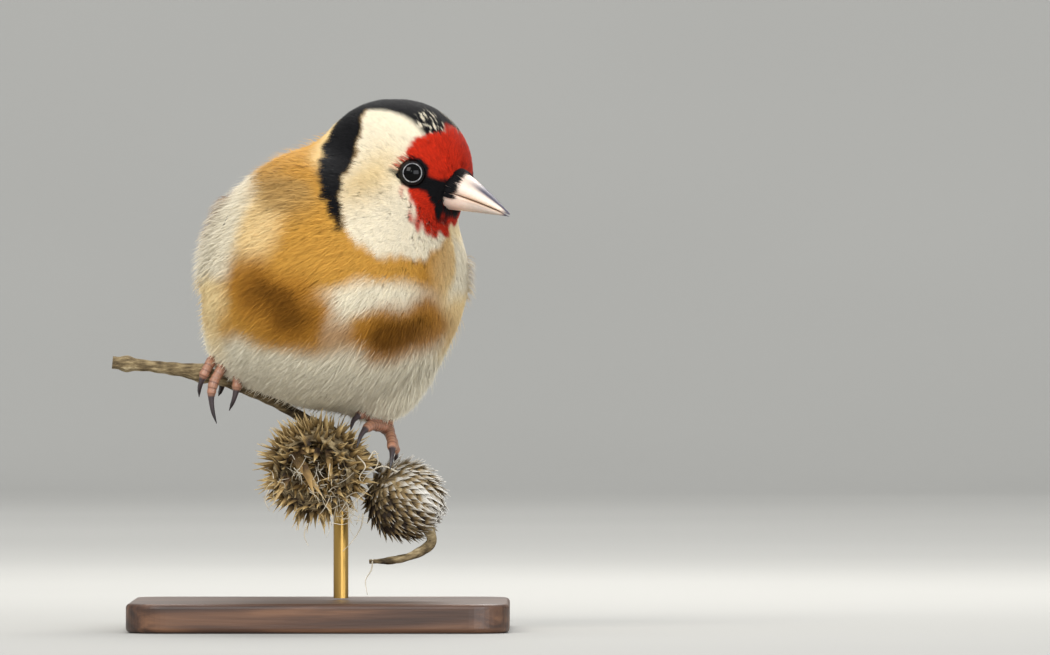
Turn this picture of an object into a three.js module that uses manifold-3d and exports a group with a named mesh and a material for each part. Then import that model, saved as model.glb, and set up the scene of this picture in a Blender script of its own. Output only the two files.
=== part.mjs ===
// A European goldfinch, life size, as a still model on a cut length of thistle stem held by a display stand.
// Units are millimetres. +Z is up, the bird faces -Y, and the origin is the centre of the stand's underside.
import * as THREE from "three";
import { mergeVertices } from "three/addons/utils/BufferGeometryUtils.js";
import Module from "manifold-3d";

const wasm = await Module();
wasm.setup();

const { degToRad, lerp, clamp } = THREE.MathUtils;
const V = (x, y, z) => new THREE.Vector3(x, y, z);

// Gap kept between two nodes that touch.
const GAP = 0.3;

// How each part of the bird is held: its centre, then yaw towards +X, pitch up and roll to its left, in degrees.
const TORSO_POSE = { centre: V(2, 0, 60.2), yaw: 6, pitch: 16, roll: 12 };
const HEAD_POSE = { centre: V(15.7, -9, 79.1), yaw: 58, pitch: -13, roll: 0 };

// Plumage as ellipsoids in the torso's frame: x forward, y to the bird's left, z up.
const TORSO_FORMS = [
  { centre: V(4, 0.4, 0), radii: V(25, 22.9, 22.8), blend: 5 },
  { centre: V(-14, 0, 0.5), radii: V(24, 17, 17), blend: 6 },
  { centre: V(-31, 0, 0.5), radii: V(11, 8, 6.5), blend: 8 },
  { centre: V(11, 4, 10), radii: V(11, 11.5, 11), blend: 5 },
  { centre: V(-3, 12.5, -13), radii: V(8, 6.5, 8.5), blend: 6 },
  { centre: V(-3, -12.5, -12), radii: V(8, 6, 7.5), blend: 6 },
];
// Plumage of the head in the head's frame.
const HEAD_FORMS = [
  { centre: V(-1.5, 0, 1.5), radii: V(12, 10, 11), blend: 3 },
  { centre: V(3.0, 0, 0.2), radii: V(7.0, 6.2, 7.2), blend: 4 },
  { centre: V(-2.5, 0, -4), radii: V(10, 11, 8.5), blend: 4 },
  { centre: V(-7, 0, -0.5), radii: V(9.8, 9.5, 10.5), blend: 4 },
];
// Distances of the two neck cuts from the head's centre, along the line to the torso's centre.
const NECK_CUTS = { upper: 8.5, lower: 12.5 };

// Bill in the head's frame: exposed culmen about 12.3 mm.
const BILL = { rootX: 8.5, tipX: 21.5, tipZ: -2.6, halfWidth: 3.5, top: 3.3, bottom: -4.4, rootGape: -0.9,
  nostril: V(10.9, 2.1, 1.25) };
// Eyes: radius of the ball and its centre on the bird's left side.
const EYE = { radius: 2.5, centre: V(5.1, 7.5, 1.1), lidRadius: 2.75, lidThick: 0.42 };

// Folded wing: 74 mm from the bend to the tip of the longest primary.
const WING = { bendX: 12, tipX: -62, thick: 1.7, reach: 0.66 };
// Tail: root in the torso's frame, feather lengths and the turn from the torso's line.
const TAIL = { root: V(-33, 0, 0.6), lengthCentre: 46.5, lengthOuter: 49, raise: 7, turn: 3, halfWidth: 3.1 };

// Thistle stem: route of its middle, and radii at the same points.
const STEM_ROUTE = [V(-36, -3.4, 46.4), V(-28, -3.2, 45.6), V(-20, -3, 44.4), V(-13.9, -2.6, 42.2),
  V(-8, -1.4, 39.6), V(-3.4, 1.4, 37), V(1.5, 4.2, 34.4)];
const STEM_RADII = [1.15, 1.05, 1.35, 1.1, 1.0, 1.0, 0.95];
// Two seed heads: A is open towards the viewer, B lies beside it.
const HEAD_A = {
  centre: V(-0.6, -6, 27.8), radius: 7.6, axis: V(-0.15, -0.96, -0.22),
  bowl: { radius: 6, away: 4.4 },
  spikes: { count: 54, seed: 7, radial: 0.75, axial: 0.42, stray: 0.5, shortest: 2.6, longest: 4, sunk: 0.8, half: 0.7, openFrom: 0.74 },
  tuft: [
    [V(-2.2, -5.2, 29.6), V(0.5, -0.6, -0.6).normalize(), V(0, -1, 0), 8.5, 0.9],
    [V(0.6, -5, 28.4), V(-0.4, -0.85, 0.35).normalize(), V(0, 0, 1), 5, 0.8],
    [V(-0.6, -5, 26.6), V(-0.2, -0.9, -0.5).normalize(), V(0, 0, 1), 4.6, 0.8],
    [V(1.8, -5.4, 26.6), V(0.45, -0.85, -0.1).normalize(), V(0, 0, 1), 4.6, 0.75],
    [V(-2.6, -5.4, 27.4), V(-0.7, -0.7, 0.1).normalize(), V(0, 0, 1), 4.4, 0.75],
  ],
};
const HEAD_B = {
  centre: V(14.6, -3, 22.6), radius: 6.4, axis: V(0.82, -0.42, -0.38),
  spikes: { count: 54, seed: 11, radial: 0.5, axial: 0.8, stray: 0.16, shortest: 2.5, longest: 3.1, sunk: 0.7, half: 1.15, openFrom: 2 },
  curl: [V(18.6, -3.6, 18.2), V(19.4, -4, 15.2), V(16.4, -4.6, 13), V(12.4, -4.8, 12), V(8.6, -4.6, 11.8)],
};

// Display stand.
const BASE = { width: 66, depth: 70, thick: 5, corner: 7 };
const ROD = { radius: 1.3, x: 3.6, y: 3.5, top: 33.2 };

// Local frame as a matrix: x forward, y left, z up.
function frameOf({ centre, yaw, pitch, roll }) {
  const facing = new THREE.Matrix4().makeBasis(V(0, -1, 0), V(1, 0, 0), V(0, 0, 1));
  return new THREE.Matrix4()
    .makeTranslation(centre.x, centre.y, centre.z)
    .multiply(new THREE.Matrix4().makeRotationZ(degToRad(yaw)))
    .multiply(facing)
    .multiply(new THREE.Matrix4().makeRotationY(degToRad(-pitch)))
    .multiply(new THREE.Matrix4().makeRotationX(degToRad(-roll)));
}
const TORSO = frameOf(TORSO_POSE);
const HEAD = frameOf(HEAD_POSE);

// Value of a profile given as [place, value] pairs, eased between them.
function along(profile, t) {
  let i = 1;
  while (i < profile.length - 1 && profile[i][0] < t) i++;
  const [t0, a] = profile[i - 1];
  const [t1, b] = profile[i];
  return lerp(a, b, THREE.MathUtils.smoothstep(clamp((t - t0) / (t1 - t0), 0, 1), 0, 1));
}

// Signed distance to the plumage, smoothly joined, at a point in space.
const forms = [
  ...TORSO_FORMS.map((form) => ({ ...form, toLocal: TORSO.clone().invert() })),
  ...HEAD_FORMS.map((form) => ({ ...form, toLocal: HEAD.clone().invert() })),
];
function plumage(point) {
  let nearest = Infinity;
  for (const { centre, radii, blend, toLocal } of forms) {
    const p = point.clone().applyMatrix4(toLocal).sub(centre);
    const scaled = p.clone().divide(radii);
    const slope = scaled.clone().divide(radii).length();
    const distance = slope > 1e-9 ? (scaled.length() * (scaled.length() - 1)) / slope : -radii.y;
    const near = Math.max(blend - Math.abs(nearest - distance), 0) / blend;
    nearest = Math.min(nearest, distance) - (Number.isFinite(nearest) ? (near * near * blend) / 4 : 0);
  }
  return nearest;
}
function outward(point) {
  const step = 0.05;
  return V(
    plumage(point.clone().add(V(step, 0, 0))) - plumage(point.clone().add(V(-step, 0, 0))),
    plumage(point.clone().add(V(0, step, 0))) - plumage(point.clone().add(V(0, -step, 0))),
    plumage(point.clone().add(V(0, 0, step))) - plumage(point.clone().add(V(0, 0, -step))),
  ).normalize();
}
// A point pushed out until it stands clear of the plumage by a distance.
function pushedClear(point, distance) {
  const p = point.clone();
  for (let i = 0; i < 6; i++) {
    const short = distance - plumage(p);
    if (short <= 0) break;
    p.addScaledVector(outward(p), short);
  }
  return p;
}

// Solids: from a closed geometry, and back to a mesh.
function solid(geometry) {
  const bare = geometry.clone();
  for (const name of Object.keys(bare.attributes)) if (name !== "position") bare.deleteAttribute(name);
  const merged = mergeVertices(bare, 1e-4);
  return new wasm.Manifold(new wasm.Mesh({
    numProp: 3,
    vertProperties: merged.attributes.position.array,
    triVerts: new Uint32Array(merged.index.array),
  }));
}
const largest = (made) => made.decompose().sort((a, b) => b.volume() - a.volume())[0];
const fuse = (solids) => wasm.Manifold.union(solids);
function node(name, made, material) {
  const data = largest(made).getMesh();
  const geometry = new THREE.BufferGeometry()
    .setAttribute("position", new THREE.BufferAttribute(new Float32Array(data.vertProperties), 3))
    .setIndex(new THREE.BufferAttribute(new Uint32Array(data.triVerts), 1));
  geometry.computeVertexNormals();
  const mesh = new THREE.Mesh(geometry, material);
  mesh.name = name;
  return mesh;
}
const placed = (made, matrix) => made.transform(matrix.elements);

// Closed geometry from rings of points, each ring going round the same way.
function loft(rings) {
  const sides = rings[0].length;
  const points = [...rings.flat(), middle(rings[0]), middle(rings.at(-1))];
  const index = [];
  for (let i = 0; i < rings.length - 1; i++)
    for (let j = 0; j < sides; j++) {
      const a = i * sides + j;
      const b = i * sides + ((j + 1) % sides);
      index.push(a, b, b + sides, a, b + sides, a + sides);
    }
  const first = rings.length * sides;
  const last = (rings.length - 1) * sides;
  for (let j = 0; j < sides; j++) {
    index.push(first, (j + 1) % sides, j);
    index.push(first + 1, last + j, last + ((j + 1) % sides));
  }
  const geometry = new THREE.BufferGeometry().setFromPoints(points);
  geometry.setIndex(index);
  return geometry;
}
function middle(ring) {
  return ring.reduce((sum, p) => sum.add(p), V(0, 0, 0)).divideScalar(ring.length);
}
// Solid tube along a smooth route, with radii at the route's points.
function tube(route, radii, sides, steps) {
  const curve = new THREE.CatmullRomCurve3(route, false, "centripetal");
  const { normals, binormals } = curve.computeFrenetFrames(steps);
  const places = radii.map((radius, i) => [i / (radii.length - 1), radius]);
  const rings = [];
  for (let i = 0; i <= steps; i++) {
    const centre = curve.getPointAt(i / steps);
    const radius = along(places, i / steps);
    rings.push([...Array(sides).keys()].map((j) => {
      const turn = (2 * Math.PI * j) / sides;
      return centre.clone()
        .addScaledVector(normals[i], radius * Math.cos(turn))
        .addScaledVector(binormals[i], radius * Math.sin(turn));
    }));
  }
  return facingOut(loft(rings));
}
// The solid of a closed geometry, turned so that its faces point outwards.
function facingOut(geometry) {
  const index = geometry.index.array;
  const p = geometry.attributes.position;
  let volume = 0;
  const [a, b, c] = [V(), V(), V()];
  for (let i = 0; i < index.length; i += 3) {
    a.fromBufferAttribute(p, index[i]);
    b.fromBufferAttribute(p, index[i + 1]);
    c.fromBufferAttribute(p, index[i + 2]);
    volume += a.dot(b.cross(c));
  }
  if (volume < 0)
    for (let i = 0; i < index.length; i += 3) [index[i + 1], index[i + 2]] = [index[i + 2], index[i + 1]];
  return solid(geometry);
}

// The plumage's surface seen from a centre: a sphere of triangles pushed out to it, no further than a reach.
function plumageFrom(centre, reach, detail) {
  const ball = mergeVertices(new THREE.IcosahedronGeometry(1, detail).deleteAttribute("normal").deleteAttribute("uv"));
  const position = ball.attributes.position;
  for (let i = 0; i < position.count; i++) {
    const direction = V().fromBufferAttribute(position, i).normalize();
    let inside = 0;
    let outside = reach;
    for (let t = 1; t <= reach; t += 0.5)
      if (plumage(centre.clone().addScaledVector(direction, t)) > 0) {
        outside = t;
        break;
      } else inside = t;
    if (outside < reach)
      for (let k = 0; k < 18; k++) {
        const half = (inside + outside) / 2;
        if (plumage(centre.clone().addScaledVector(direction, half)) > 0) outside = half;
        else inside = half;
      }
    const p = centre.clone().addScaledVector(direction, outside);
    position.setXYZ(i, p.x, p.y, p.z);
  }
  return solid(ball);
}

const materials = {
  buff: new THREE.MeshStandardMaterial({ color: 0xc79a55, roughness: 0.8 }),
  white: new THREE.MeshStandardMaterial({ color: 0xeee6d6, roughness: 0.8 }),
  black: new THREE.MeshStandardMaterial({ color: 0x16161a, roughness: 0.6 }),
  horn: new THREE.MeshStandardMaterial({ color: 0xe9c9b8, roughness: 0.35 }),
  eye: new THREE.MeshStandardMaterial({ color: 0x0a0706, roughness: 0.05 }),
  leg: new THREE.MeshStandardMaterial({ color: 0xb9786a, roughness: 0.5 }),
  straw: new THREE.MeshStandardMaterial({ color: 0xa8916a, roughness: 0.85 }),
  wood: new THREE.MeshStandardMaterial({ color: 0x3b2a20, roughness: 0.4 }),
  brass: new THREE.MeshStandardMaterial({ color: 0xb08d57, roughness: 0.3, metalness: 1 }),
};

// Body: one smooth form, parted by two thin cuts across the neck.
const neckLine = TORSO_POSE.centre.clone().sub(HEAD_POSE.centre).normalize();
const cutAt = (distance) => HEAD_POSE.centre.dot(neckLine) + distance;
const towardsTorso = [neckLine.x, neckLine.y, neckLine.z];
const towardsHead = towardsTorso.map((x) => -x);

function bill(grow, upper) {
  // Stations from the root to the tip: the gape line falls from the root to the tip.
  const stations = [-0.1, 0, 0.25, 0.5, 0.72, 0.88, 0.97];
  const sides = 7;
  const rings = stations.map((t) => {
    const x = lerp(BILL.rootX, BILL.tipX, t) - (t < 0 ? grow : 0);
    const gape = lerp(BILL.rootGape, BILL.tipZ, Math.max(t, 0)) + 0.25 * Math.sin(Math.PI * Math.max(t, 0));
    const shrink = Math.pow(1 - Math.max(t, 0), 0.86);
    const width = BILL.halfWidth * shrink * (upper ? 1 : 0.93) + grow + 0.1;
    const reach = upper
      ? lerp(BILL.top, BILL.tipZ + 0.35, Math.pow(Math.max(t, 0), 1.36)) - gape
      : gape - lerp(BILL.bottom, BILL.tipZ - 0.15, Math.pow(Math.max(t, 0), 0.95));
    const side = upper ? 1 : -1;
    const edge = gape + side * (GAP / 2) - side * grow;
    return [...Array(sides).keys()].map((j) => {
      const turn = (Math.PI * j) / (sides - 1);
      const rise = Math.pow(Math.sin(turn), 0.85) * Math.max(reach - GAP / 2 + 2 * grow, 0.15);
      return V(x, width * Math.cos(turn), edge + side * rise);
    });
  });
  const half = facingOut(loft(rings));
  if (!upper || grow) return placed(half, HEAD);
  const { x, y, z } = BILL.nostril;
  const dimples = [1, -1].map((side) => solid(new THREE.IcosahedronGeometry(0.5, 1)).translate([x, side * y, z]));
  return placed(half.subtract(fuse(dimples)), HEAD);
}

function eye(side, grow) {
  const ball = solid(new THREE.SphereGeometry(EYE.radius + grow, 14, 8));
  const centre = EYE.centre.clone().setY(side * EYE.centre.y).applyMatrix4(HEAD);
  return ball.translate([centre.x, centre.y, centre.z]);
}

// The bare rim of the lids, standing on the plumage round the eye.
function lids(side) {
  const centre = pushedClear(EYE.centre.clone().setY(side * EYE.centre.y).applyMatrix4(HEAD), 0);
  const turn = new THREE.Quaternion().setFromUnitVectors(V(0, 0, 1), outward(centre));
  const ring = new THREE.TorusGeometry(EYE.lidRadius, EYE.lidThick, 5, 16);
  return solid(ring.applyQuaternion(turn).translate(centre.x, centre.y, centre.z));
}

function head() {
  const form = plumageFrom(HEAD_POSE.centre, 24, 6).trimByPlane(towardsHead, -cutAt(NECK_CUTS.upper));
  return fuse([form, lids(1), lids(-1)])
    .subtract(bill(GAP, true))
    .subtract(bill(GAP, false))
    .subtract(eye(1, GAP))
    .subtract(eye(-1, GAP));
}

function neck() {
  const centre = HEAD_POSE.centre.clone().addScaledVector(neckLine, (NECK_CUTS.upper + NECK_CUTS.lower) / 2);
  return plumageFrom(centre, 26, 5)
    .trimByPlane(towardsTorso, cutAt(NECK_CUTS.upper) + GAP)
    .trimByPlane(towardsHead, -cutAt(NECK_CUTS.lower));
}

// Wing surface: widths of its section, height of its middle and the angles of its upper and lower edges
// from the back's midline, along the folded wing from bend to tip.
const WING_SECTION = {
  across: [[0, 20], [0.2, 20.8], [0.4, 18.5], [0.55, 15], [0.7, 10.5], [0.85, 7], [1, 4.4]],
  upwards: [[0, 17], [0.3, 17.5], [0.5, 13.5], [0.7, 8], [0.85, 5], [1, 3]],
  middle: [[0, 0], [0.4, 1], [0.7, 3.6], [1, 6.4]],
  upperEdge: [[0, 62], [0.15, 46], [0.35, 34], [0.6, 32], [0.8, 46], [1, 70]],
  lowerEdge: [[0, 86], [0.15, 94], [0.4, 104], [0.7, 104], [1, 92]],
  sunk: [[0, -2.6], [0.35, -2.2], [0.6, -0.4], [0.75, 0.7], [1, 0.8]],
};
// Point on the wing's surface at u from bend to tip and v from lower to upper edge, raised above the body.
function wingPoint(side, u, v, height) {
  const turn = degToRad(lerp(along(WING_SECTION.lowerEdge, u), along(WING_SECTION.upperEdge, u), v));
  const across = along(WING_SECTION.across, u);
  const upwards = along(WING_SECTION.upwards, u);
  const point = V(
    lerp(WING.bendX, WING.tipX, u),
    side * across * Math.sin(turn),
    along(WING_SECTION.middle, u) + upwards * Math.cos(turn),
  ).applyMatrix4(TORSO);
  const out = V(0, side * Math.sin(turn), Math.cos(turn)).transformDirection(TORSO);
  return pushedClear(point, along(WING_SECTION.sunk, u)).addScaledVector(out, height);
}

// Closed sheet between a lower and an upper grid of points, split into like triangles on both faces.
function slab(lower, upper) {
  const rows = lower.length;
  const columns = lower[0].length;
  const at = (face, i, j) => (face * rows + i) * columns + j;
  const index = [];
  for (let i = 0; i < rows - 1; i++)
    for (let j = 0; j < columns - 1; j++) {
      index.push(at(0, i, j), at(0, i + 1, j + 1), at(0, i, j + 1), at(0, i, j), at(0, i + 1, j), at(0, i + 1, j + 1));
      index.push(at(1, i, j), at(1, i, j + 1), at(1, i + 1, j + 1), at(1, i, j), at(1, i + 1, j + 1), at(1, i + 1, j));
    }
  const rim = (a, b, c, d) => index.push(at(0, ...a), at(1, ...b), at(1, ...a), at(0, ...a), at(0, ...b), at(1, ...b));
  for (let j = 0; j < columns - 1; j++) {
    rim([0, j], [0, j + 1]);
    rim([rows - 1, j + 1], [rows - 1, j]);
  }
  for (let i = 0; i < rows - 1; i++) {
    rim([i + 1, 0], [i, 0]);
    rim([i, columns - 1], [i + 1, columns - 1]);
  }
  const geometry = new THREE.BufferGeometry().setFromPoints([...lower.flat(2), ...upper.flat(2)]);
  geometry.setIndex(index);
  return facingOut(geometry);
}

// Feather rows of the folded wing: number, places of the first and last root and tip on the wing's sheet as
// [u, v], half width in millimetres, and height of root and tip above the sheet. The first lies lowest.
const WING_ROWS = [
  { count: 7, roots: [[0.27, 0.08], [0.34, 0.5]], tips: [[0.995, 0.42], [0.7, 0.86]], half: 1.75, rise: [0.35, 0.15] },
  { count: 3, roots: [[0.2, 0.25], [0.22, 0.7]], tips: [[0.6, 0.36], [0.63, 0.84]], half: 1.9, rise: [0.75, 0.6] },
  { count: 3, roots: [[0.18, 0.68], [0.15, 0.82]], tips: [[0.66, 0.8], [0.52, 0.86]], half: 2.1, rise: [1.0, 1.1] },
  { count: 2, roots: [[0.13, 0.06], [0.16, 0.24]], tips: [[0.42, 0.1], [0.36, 0.34]], half: 1.5, rise: [1.05, 0.95] },
  { count: 5, roots: [[0.1, 0.24], [0.08, 0.88]], tips: [[0.33, 0.28], [0.3, 0.88]], half: 2.1, rise: [1.15, 1.35] },
  { count: 4, roots: [[0.02, 0.24], [0.01, 0.86]], tips: [[0.19, 0.24], [0.17, 0.88]], half: 2.4, rise: [1.2, 1.75] },
];
// Half width of a vane along its length, as a share of the widest.
const VANE_OUTLINE = [0.6, 1, 0.92, 0.3];
const VANE_PLACES = [0, 0.45, 0.86, 1];
const VANE = { thick: 0.55, tipThick: 0.3, tilt: 0.3 };
// The hand and arm under the feathers: a slab on the body's side that thins out towards the primaries.
function wingBase(side) {
  const rows = 7;
  const columns = 4;
  const grid = (height) => [...Array(rows).keys()].map((i) => [...Array(columns).keys()].map((j) => {
    const u = (WING.reach * i) / (rows - 1);
    const v = j / (columns - 1);
    return wingPoint(side, u, lerp(0.04, 0.96, v), height(u, v));
  }));
  const crown = (u, v) => WING.thick * (1 - 0.75 * u) * (0.45 + 0.55 * Math.sin(Math.PI * lerp(0.1, 0.9, v)));
  return slab(grid(() => 0), grid(crown));
}
// One feather on the wing's sheet: its edge towards the back lies under its neighbour.
function wingVane(side, root, tip, half, rise) {
  const faces = VANE_PLACES.map((t, i) => {
    const u = lerp(root[0], tip[0], t);
    const v = lerp(root[1], tip[1], Math.pow(t, 0.8));
    const height = lerp(rise[0], rise[1], t);
    const thick = lerp(VANE.thick, VANE.tipThick, t);
    const across = wingPoint(side, u, v - 0.04, height).sub(wingPoint(side, u, v + 0.04, height)).normalize();
    const middlePoint = wingPoint(side, u, v, height);
    const up = wingPoint(side, u, v, height + 1).sub(middlePoint).normalize();
    const edge = (way, level) => middlePoint.clone()
      .addScaledVector(across, way * half * VANE_OUTLINE[i])
      .addScaledVector(up, level + way * VANE.tilt);
    return [[edge(-1, 0), edge(1, 0)], [edge(-1, thick), edge(1, thick)]];
  });
  return slab(faces.map(([low]) => low), faces.map(([, high]) => high));
}
// Room for the wing in the plumage: its own sheet with a gap below it and all round.
function wingRoom(side) {
  const grid = (height) => [...Array(10).keys()].map((i) => [...Array(6).keys()].map((j) =>
    wingPoint(side, lerp(-0.02, 1.02, i / 9), lerp(-0.1, 1.07, j / 5), height)));
  return slab(grid(-GAP - 0.3), grid(6));
}
function wing(side) {
  const mix = (from, to, t) => [lerp(from[0], to[0], t), lerp(from[1], to[1], t)];
  const vanes = WING_ROWS.flatMap(({ count, roots, tips, half, rise }) => [...Array(count).keys()].map((i) => {
    const t = i / (count - 1);
    return wingVane(side, mix(...roots, t), mix(...tips, t), half, rise.map((h) => h + 0.05 * t));
  }));
  return fuse([wingBase(side), ...vanes]).trimByPlane(towardsTorso, cutAt(NECK_CUTS.lower) + GAP);
}

// Tail feathers lie in the tail's own frame: x backwards, y to the bird's left, z up.
function tailFrame() {
  const { root, raise, turn } = TAIL;
  return TORSO.clone()
    .multiply(new THREE.Matrix4().makeTranslation(root.x, root.y, root.z))
    .multiply(new THREE.Matrix4().makeRotationZ(degToRad(180 + turn)))
    .multiply(new THREE.Matrix4().makeRotationY(degToRad(-raise)));
}
const TAIL_FRAME = tailFrame();
// Tail feathers in pairs: the central pair on top, each further pair a step lower and further out.
const TAIL_OUTLINE = [[0, 1.5], [0.4, 2.8], [0.9, 3.0], [1, 0.9]];
const TAIL_STEP = { pairs: 6, down: 0.4, rootOut: 0.28, tipOut: 0.72, thick: 0.55, tipThick: 0.34, tilt: 0.16 };
function tailVane(side, pair) {
  const { down, rootOut, tipOut, thick, tipThick, tilt, pairs } = TAIL_STEP;
  const length = lerp(TAIL.lengthCentre, TAIL.lengthOuter, pair / (pairs - 1));
  const faces = TAIL_OUTLINE.map(([t, half]) => {
    const y = side * (0.7 + lerp(rootOut, tipOut, t) * pair);
    const level = 0.95 - down * (pair + (side < 0 ? 0.5 : 0)) - 0.9 * Math.pow(t, 2) * 0.4;
    const edge = (way, rise) => V(length * t, y + way * half, level + rise - side * way * tilt).applyMatrix4(TAIL_FRAME);
    const deep = lerp(thick, tipThick, t);
    return [[edge(-1, 0), edge(1, 0)], [edge(-1, deep), edge(1, deep)]];
  });
  return slab(faces.map(([low]) => low), faces.map(([, high]) => high));
}
function tail() {
  return fuse([...Array(TAIL_STEP.pairs).keys()].flatMap((pair) => [tailVane(1, pair), tailVane(-1, pair)]));
}

function torso() {
  const form = plumageFrom(TORSO_POSE.centre, 48, 7).trimByPlane(towardsTorso, cutAt(NECK_CUTS.lower) + GAP);
  const tailPocket = slab(
    [[-1, 0, 1], [-1, 0, 1]].map((row, i) => row.map((j) => V(-1 + 20 * i, j * 5.4, -3).applyMatrix4(TAIL_FRAME))),
    [[-1, 0, 1], [-1, 0, 1]].map((row, i) => row.map((j) => V(-1 + 20 * i, j * 5.4, 2).applyMatrix4(TAIL_FRAME))),
  );
  return form
    .subtract(wingRoom(1))
    .subtract(wingRoom(-1))
    .subtract(tailPocket)
    .subtract(leg("right", GAP))
    .subtract(leg("left", GAP))
    .subtract(foot("right", GAP))
    .subtract(foot("left", GAP))
    .subtract(stem(GAP));
}

// Legs: the tarsus from its joint inside the belly plumage down to the foot.
const LEGS = {
  right: { heel: V(-14.6, 1.6, 52), foot: V(-16.2, -2.6, 46.9) },
  left: { heel: V(11.9, 3.6, 44), foot: V(11.9, -2.2, 34.6) },
};
const TARSUS = { top: 1.05, middle: 0.75, low: 0.9 };
function leg(side, grow) {
  const { heel, foot } = LEGS[side];
  const towardsHeel = heel.clone().sub(foot).normalize();
  const low = foot.clone().addScaledVector(towardsHeel, TOE.ankle + GAP - grow);
  const high = heel.clone().addScaledVector(towardsHeel, grow);
  const route = [0, 0.5, 1].map((t) => low.clone().lerp(high, t));
  return tube(route, [TARSUS.low + grow, TARSUS.middle + grow, TARSUS.top + grow], 8, 4);
}

// Toes: each runs over its own points from the foot's middle to the claw's tip.
const TOE = { ankle: 1.05, pad: 0.85, radii: [0.95, 0.88, 0.85, 0.85, 0.8, 0.5, 0.36, 0.12] };
const STEM_RIGHT_FOOT = V(-17.5, -3, 43.9);
const STEM_SLOPE = V(0.96, 0.05, -0.26);
// Point beside the stem under the right foot: along it, then round it from the top towards the viewer.
function roundStem(shift, turn, distance) {
  const angle = degToRad(turn);
  const up = V(0.26, 0, 0.96);
  return STEM_RIGHT_FOOT.clone()
    .addScaledVector(STEM_SLOPE, shift)
    .addScaledVector(up, distance * Math.cos(angle))
    .addScaledVector(V(0, -1, 0), distance * Math.sin(angle));
}
const TOES = {
  right: [
    [[-1.6, 22, 2.9], [-2.2, 62, 2.85], [-2.6, 104, 2.9], [-2.7, 142, 3.5], [-2.4, 168, 4.4]],
    [[0.4, 22, 3.1], [0.1, 62, 3.1], [-0.5, 104, 3.5], [-0.4, 132, 5.0], [0.6, 150, 7.0], [1.8, 158, 8.6]],
    [[2.0, 24, 2.9], [3.0, 64, 2.85], [3.5, 104, 3.0], [3.6, 136, 4.2], [3.3, 160, 5.6]],
    [[0.4, -40, 2.8], [0.7, -85, 2.8], [0.9, -130, 2.9], [0.8, -172, 3.3]],
  ].map((toe) => toe.map((place) => roundStem(...place))),
  left: [
    [V(9.6, -3.6, 36.2), V(7.6, -5.2, 37.4), V(6.0, -7.4, 36.4), V(5.4, -9.3, 34.6)],
    [V(10.3, -4.6, 35.2), V(8.9, -7.4, 35.4), V(7.4, -10.6, 34), V(6.5, -12.4, 31.6)],
    [V(12.3, -4.8, 33.8), V(12.6, -8, 32.2), V(12.6, -10.4, 30.2), V(12.3, -11.6, 27.8)],
    [V(12.4, -0.2, 33.2), V(12.9, 2.6, 31.6), V(13.2, 4.8, 29.6), V(13, 5.8, 27.4)],
  ],
};
function toeRoute(side, points) {
  return [LEGS[side].foot.clone(), ...points].map((p) => clearOfHeads(p, TOE.pad + GAP));
}
function foot(side, grow) {
  const ball = new THREE.IcosahedronGeometry(TOE.ankle + grow, 1);
  const { foot: centre } = LEGS[side];
  const pieces = TOES[side].map((points) =>
    tube(toeRoute(side, points), TOE.radii.map((radius) => radius + grow), 5, 8));
  return fuse([...pieces, solid(ball).translate([centre.x, centre.y, centre.z])]);
}

// Perch: the cut stem, whose thin end forks behind seed head A and carries head B.
function stem(grow) {
  const main = tube(STEM_ROUTE, STEM_RADII.map((r) => r + grow), 7, 13);
  const fork = tube(STEM_FORK, [0.9 + grow, 0.85 + grow, 0.8 + grow], 6, 4);
  const neckA = tube(STEM_NECK_A, [0.85 + grow, 0.9 + grow, 1.2 + grow], 6, 4);
  const knots = STEM_KNOTS.map(({ centre, radius }) =>
    solid(new THREE.IcosahedronGeometry(radius + grow, 1)).translate([centre.x, centre.y, centre.z]));
  return fuse([main, fork, neckA, ...knots]);
}
const STEM_FORK = [V(-1.6, 2.4, 36.2), V(4.5, 3.6, 33), V(11.5, 0.6, 27)];
const STEM_NECK_A = [V(0.6, 3.6, 35), V(1.4, 1.2, 33), V(0.5, -1.6, 31.2)];
const STEM_KNOTS = [{ centre: V(-20.4, -3, 44.4), radius: 1.75 }, { centre: V(-33.4, -3.3, 46.3), radius: 1.5 }];

// A point moved out of the seed heads' cores by a distance.
function clearOfHeads(point, distance) {
  const p = point.clone();
  for (const { centre, radius } of [HEAD_A, HEAD_B]) {
    const away = p.clone().sub(centre);
    const short = radius + distance - away.length();
    if (short > 0) p.addScaledVector(away.normalize(), short);
  }
  return p;
}
function core({ centre, radius }, grow) {
  return solid(new THREE.IcosahedronGeometry(radius + grow, 2)).translate([centre.x, centre.y, centre.z]);
}
// Repeatable random numbers from 0 to 1.
function drawsFrom(seed) {
  let state = seed;
  return () => {
    state = (Math.imul(state, 1664525) + 1013904223) >>> 0;
    return state / 4294967296;
  };
}
// Places spread evenly over a sphere.
function spread(count) {
  return [...Array(count).keys()].map((i) => {
    const z = 1 - (2 * (i + 0.5)) / count;
    const turn = i * 2.399963;
    const radius = Math.sqrt(1 - z * z);
    return V(radius * Math.cos(turn), radius * Math.sin(turn), z);
  });
}
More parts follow.
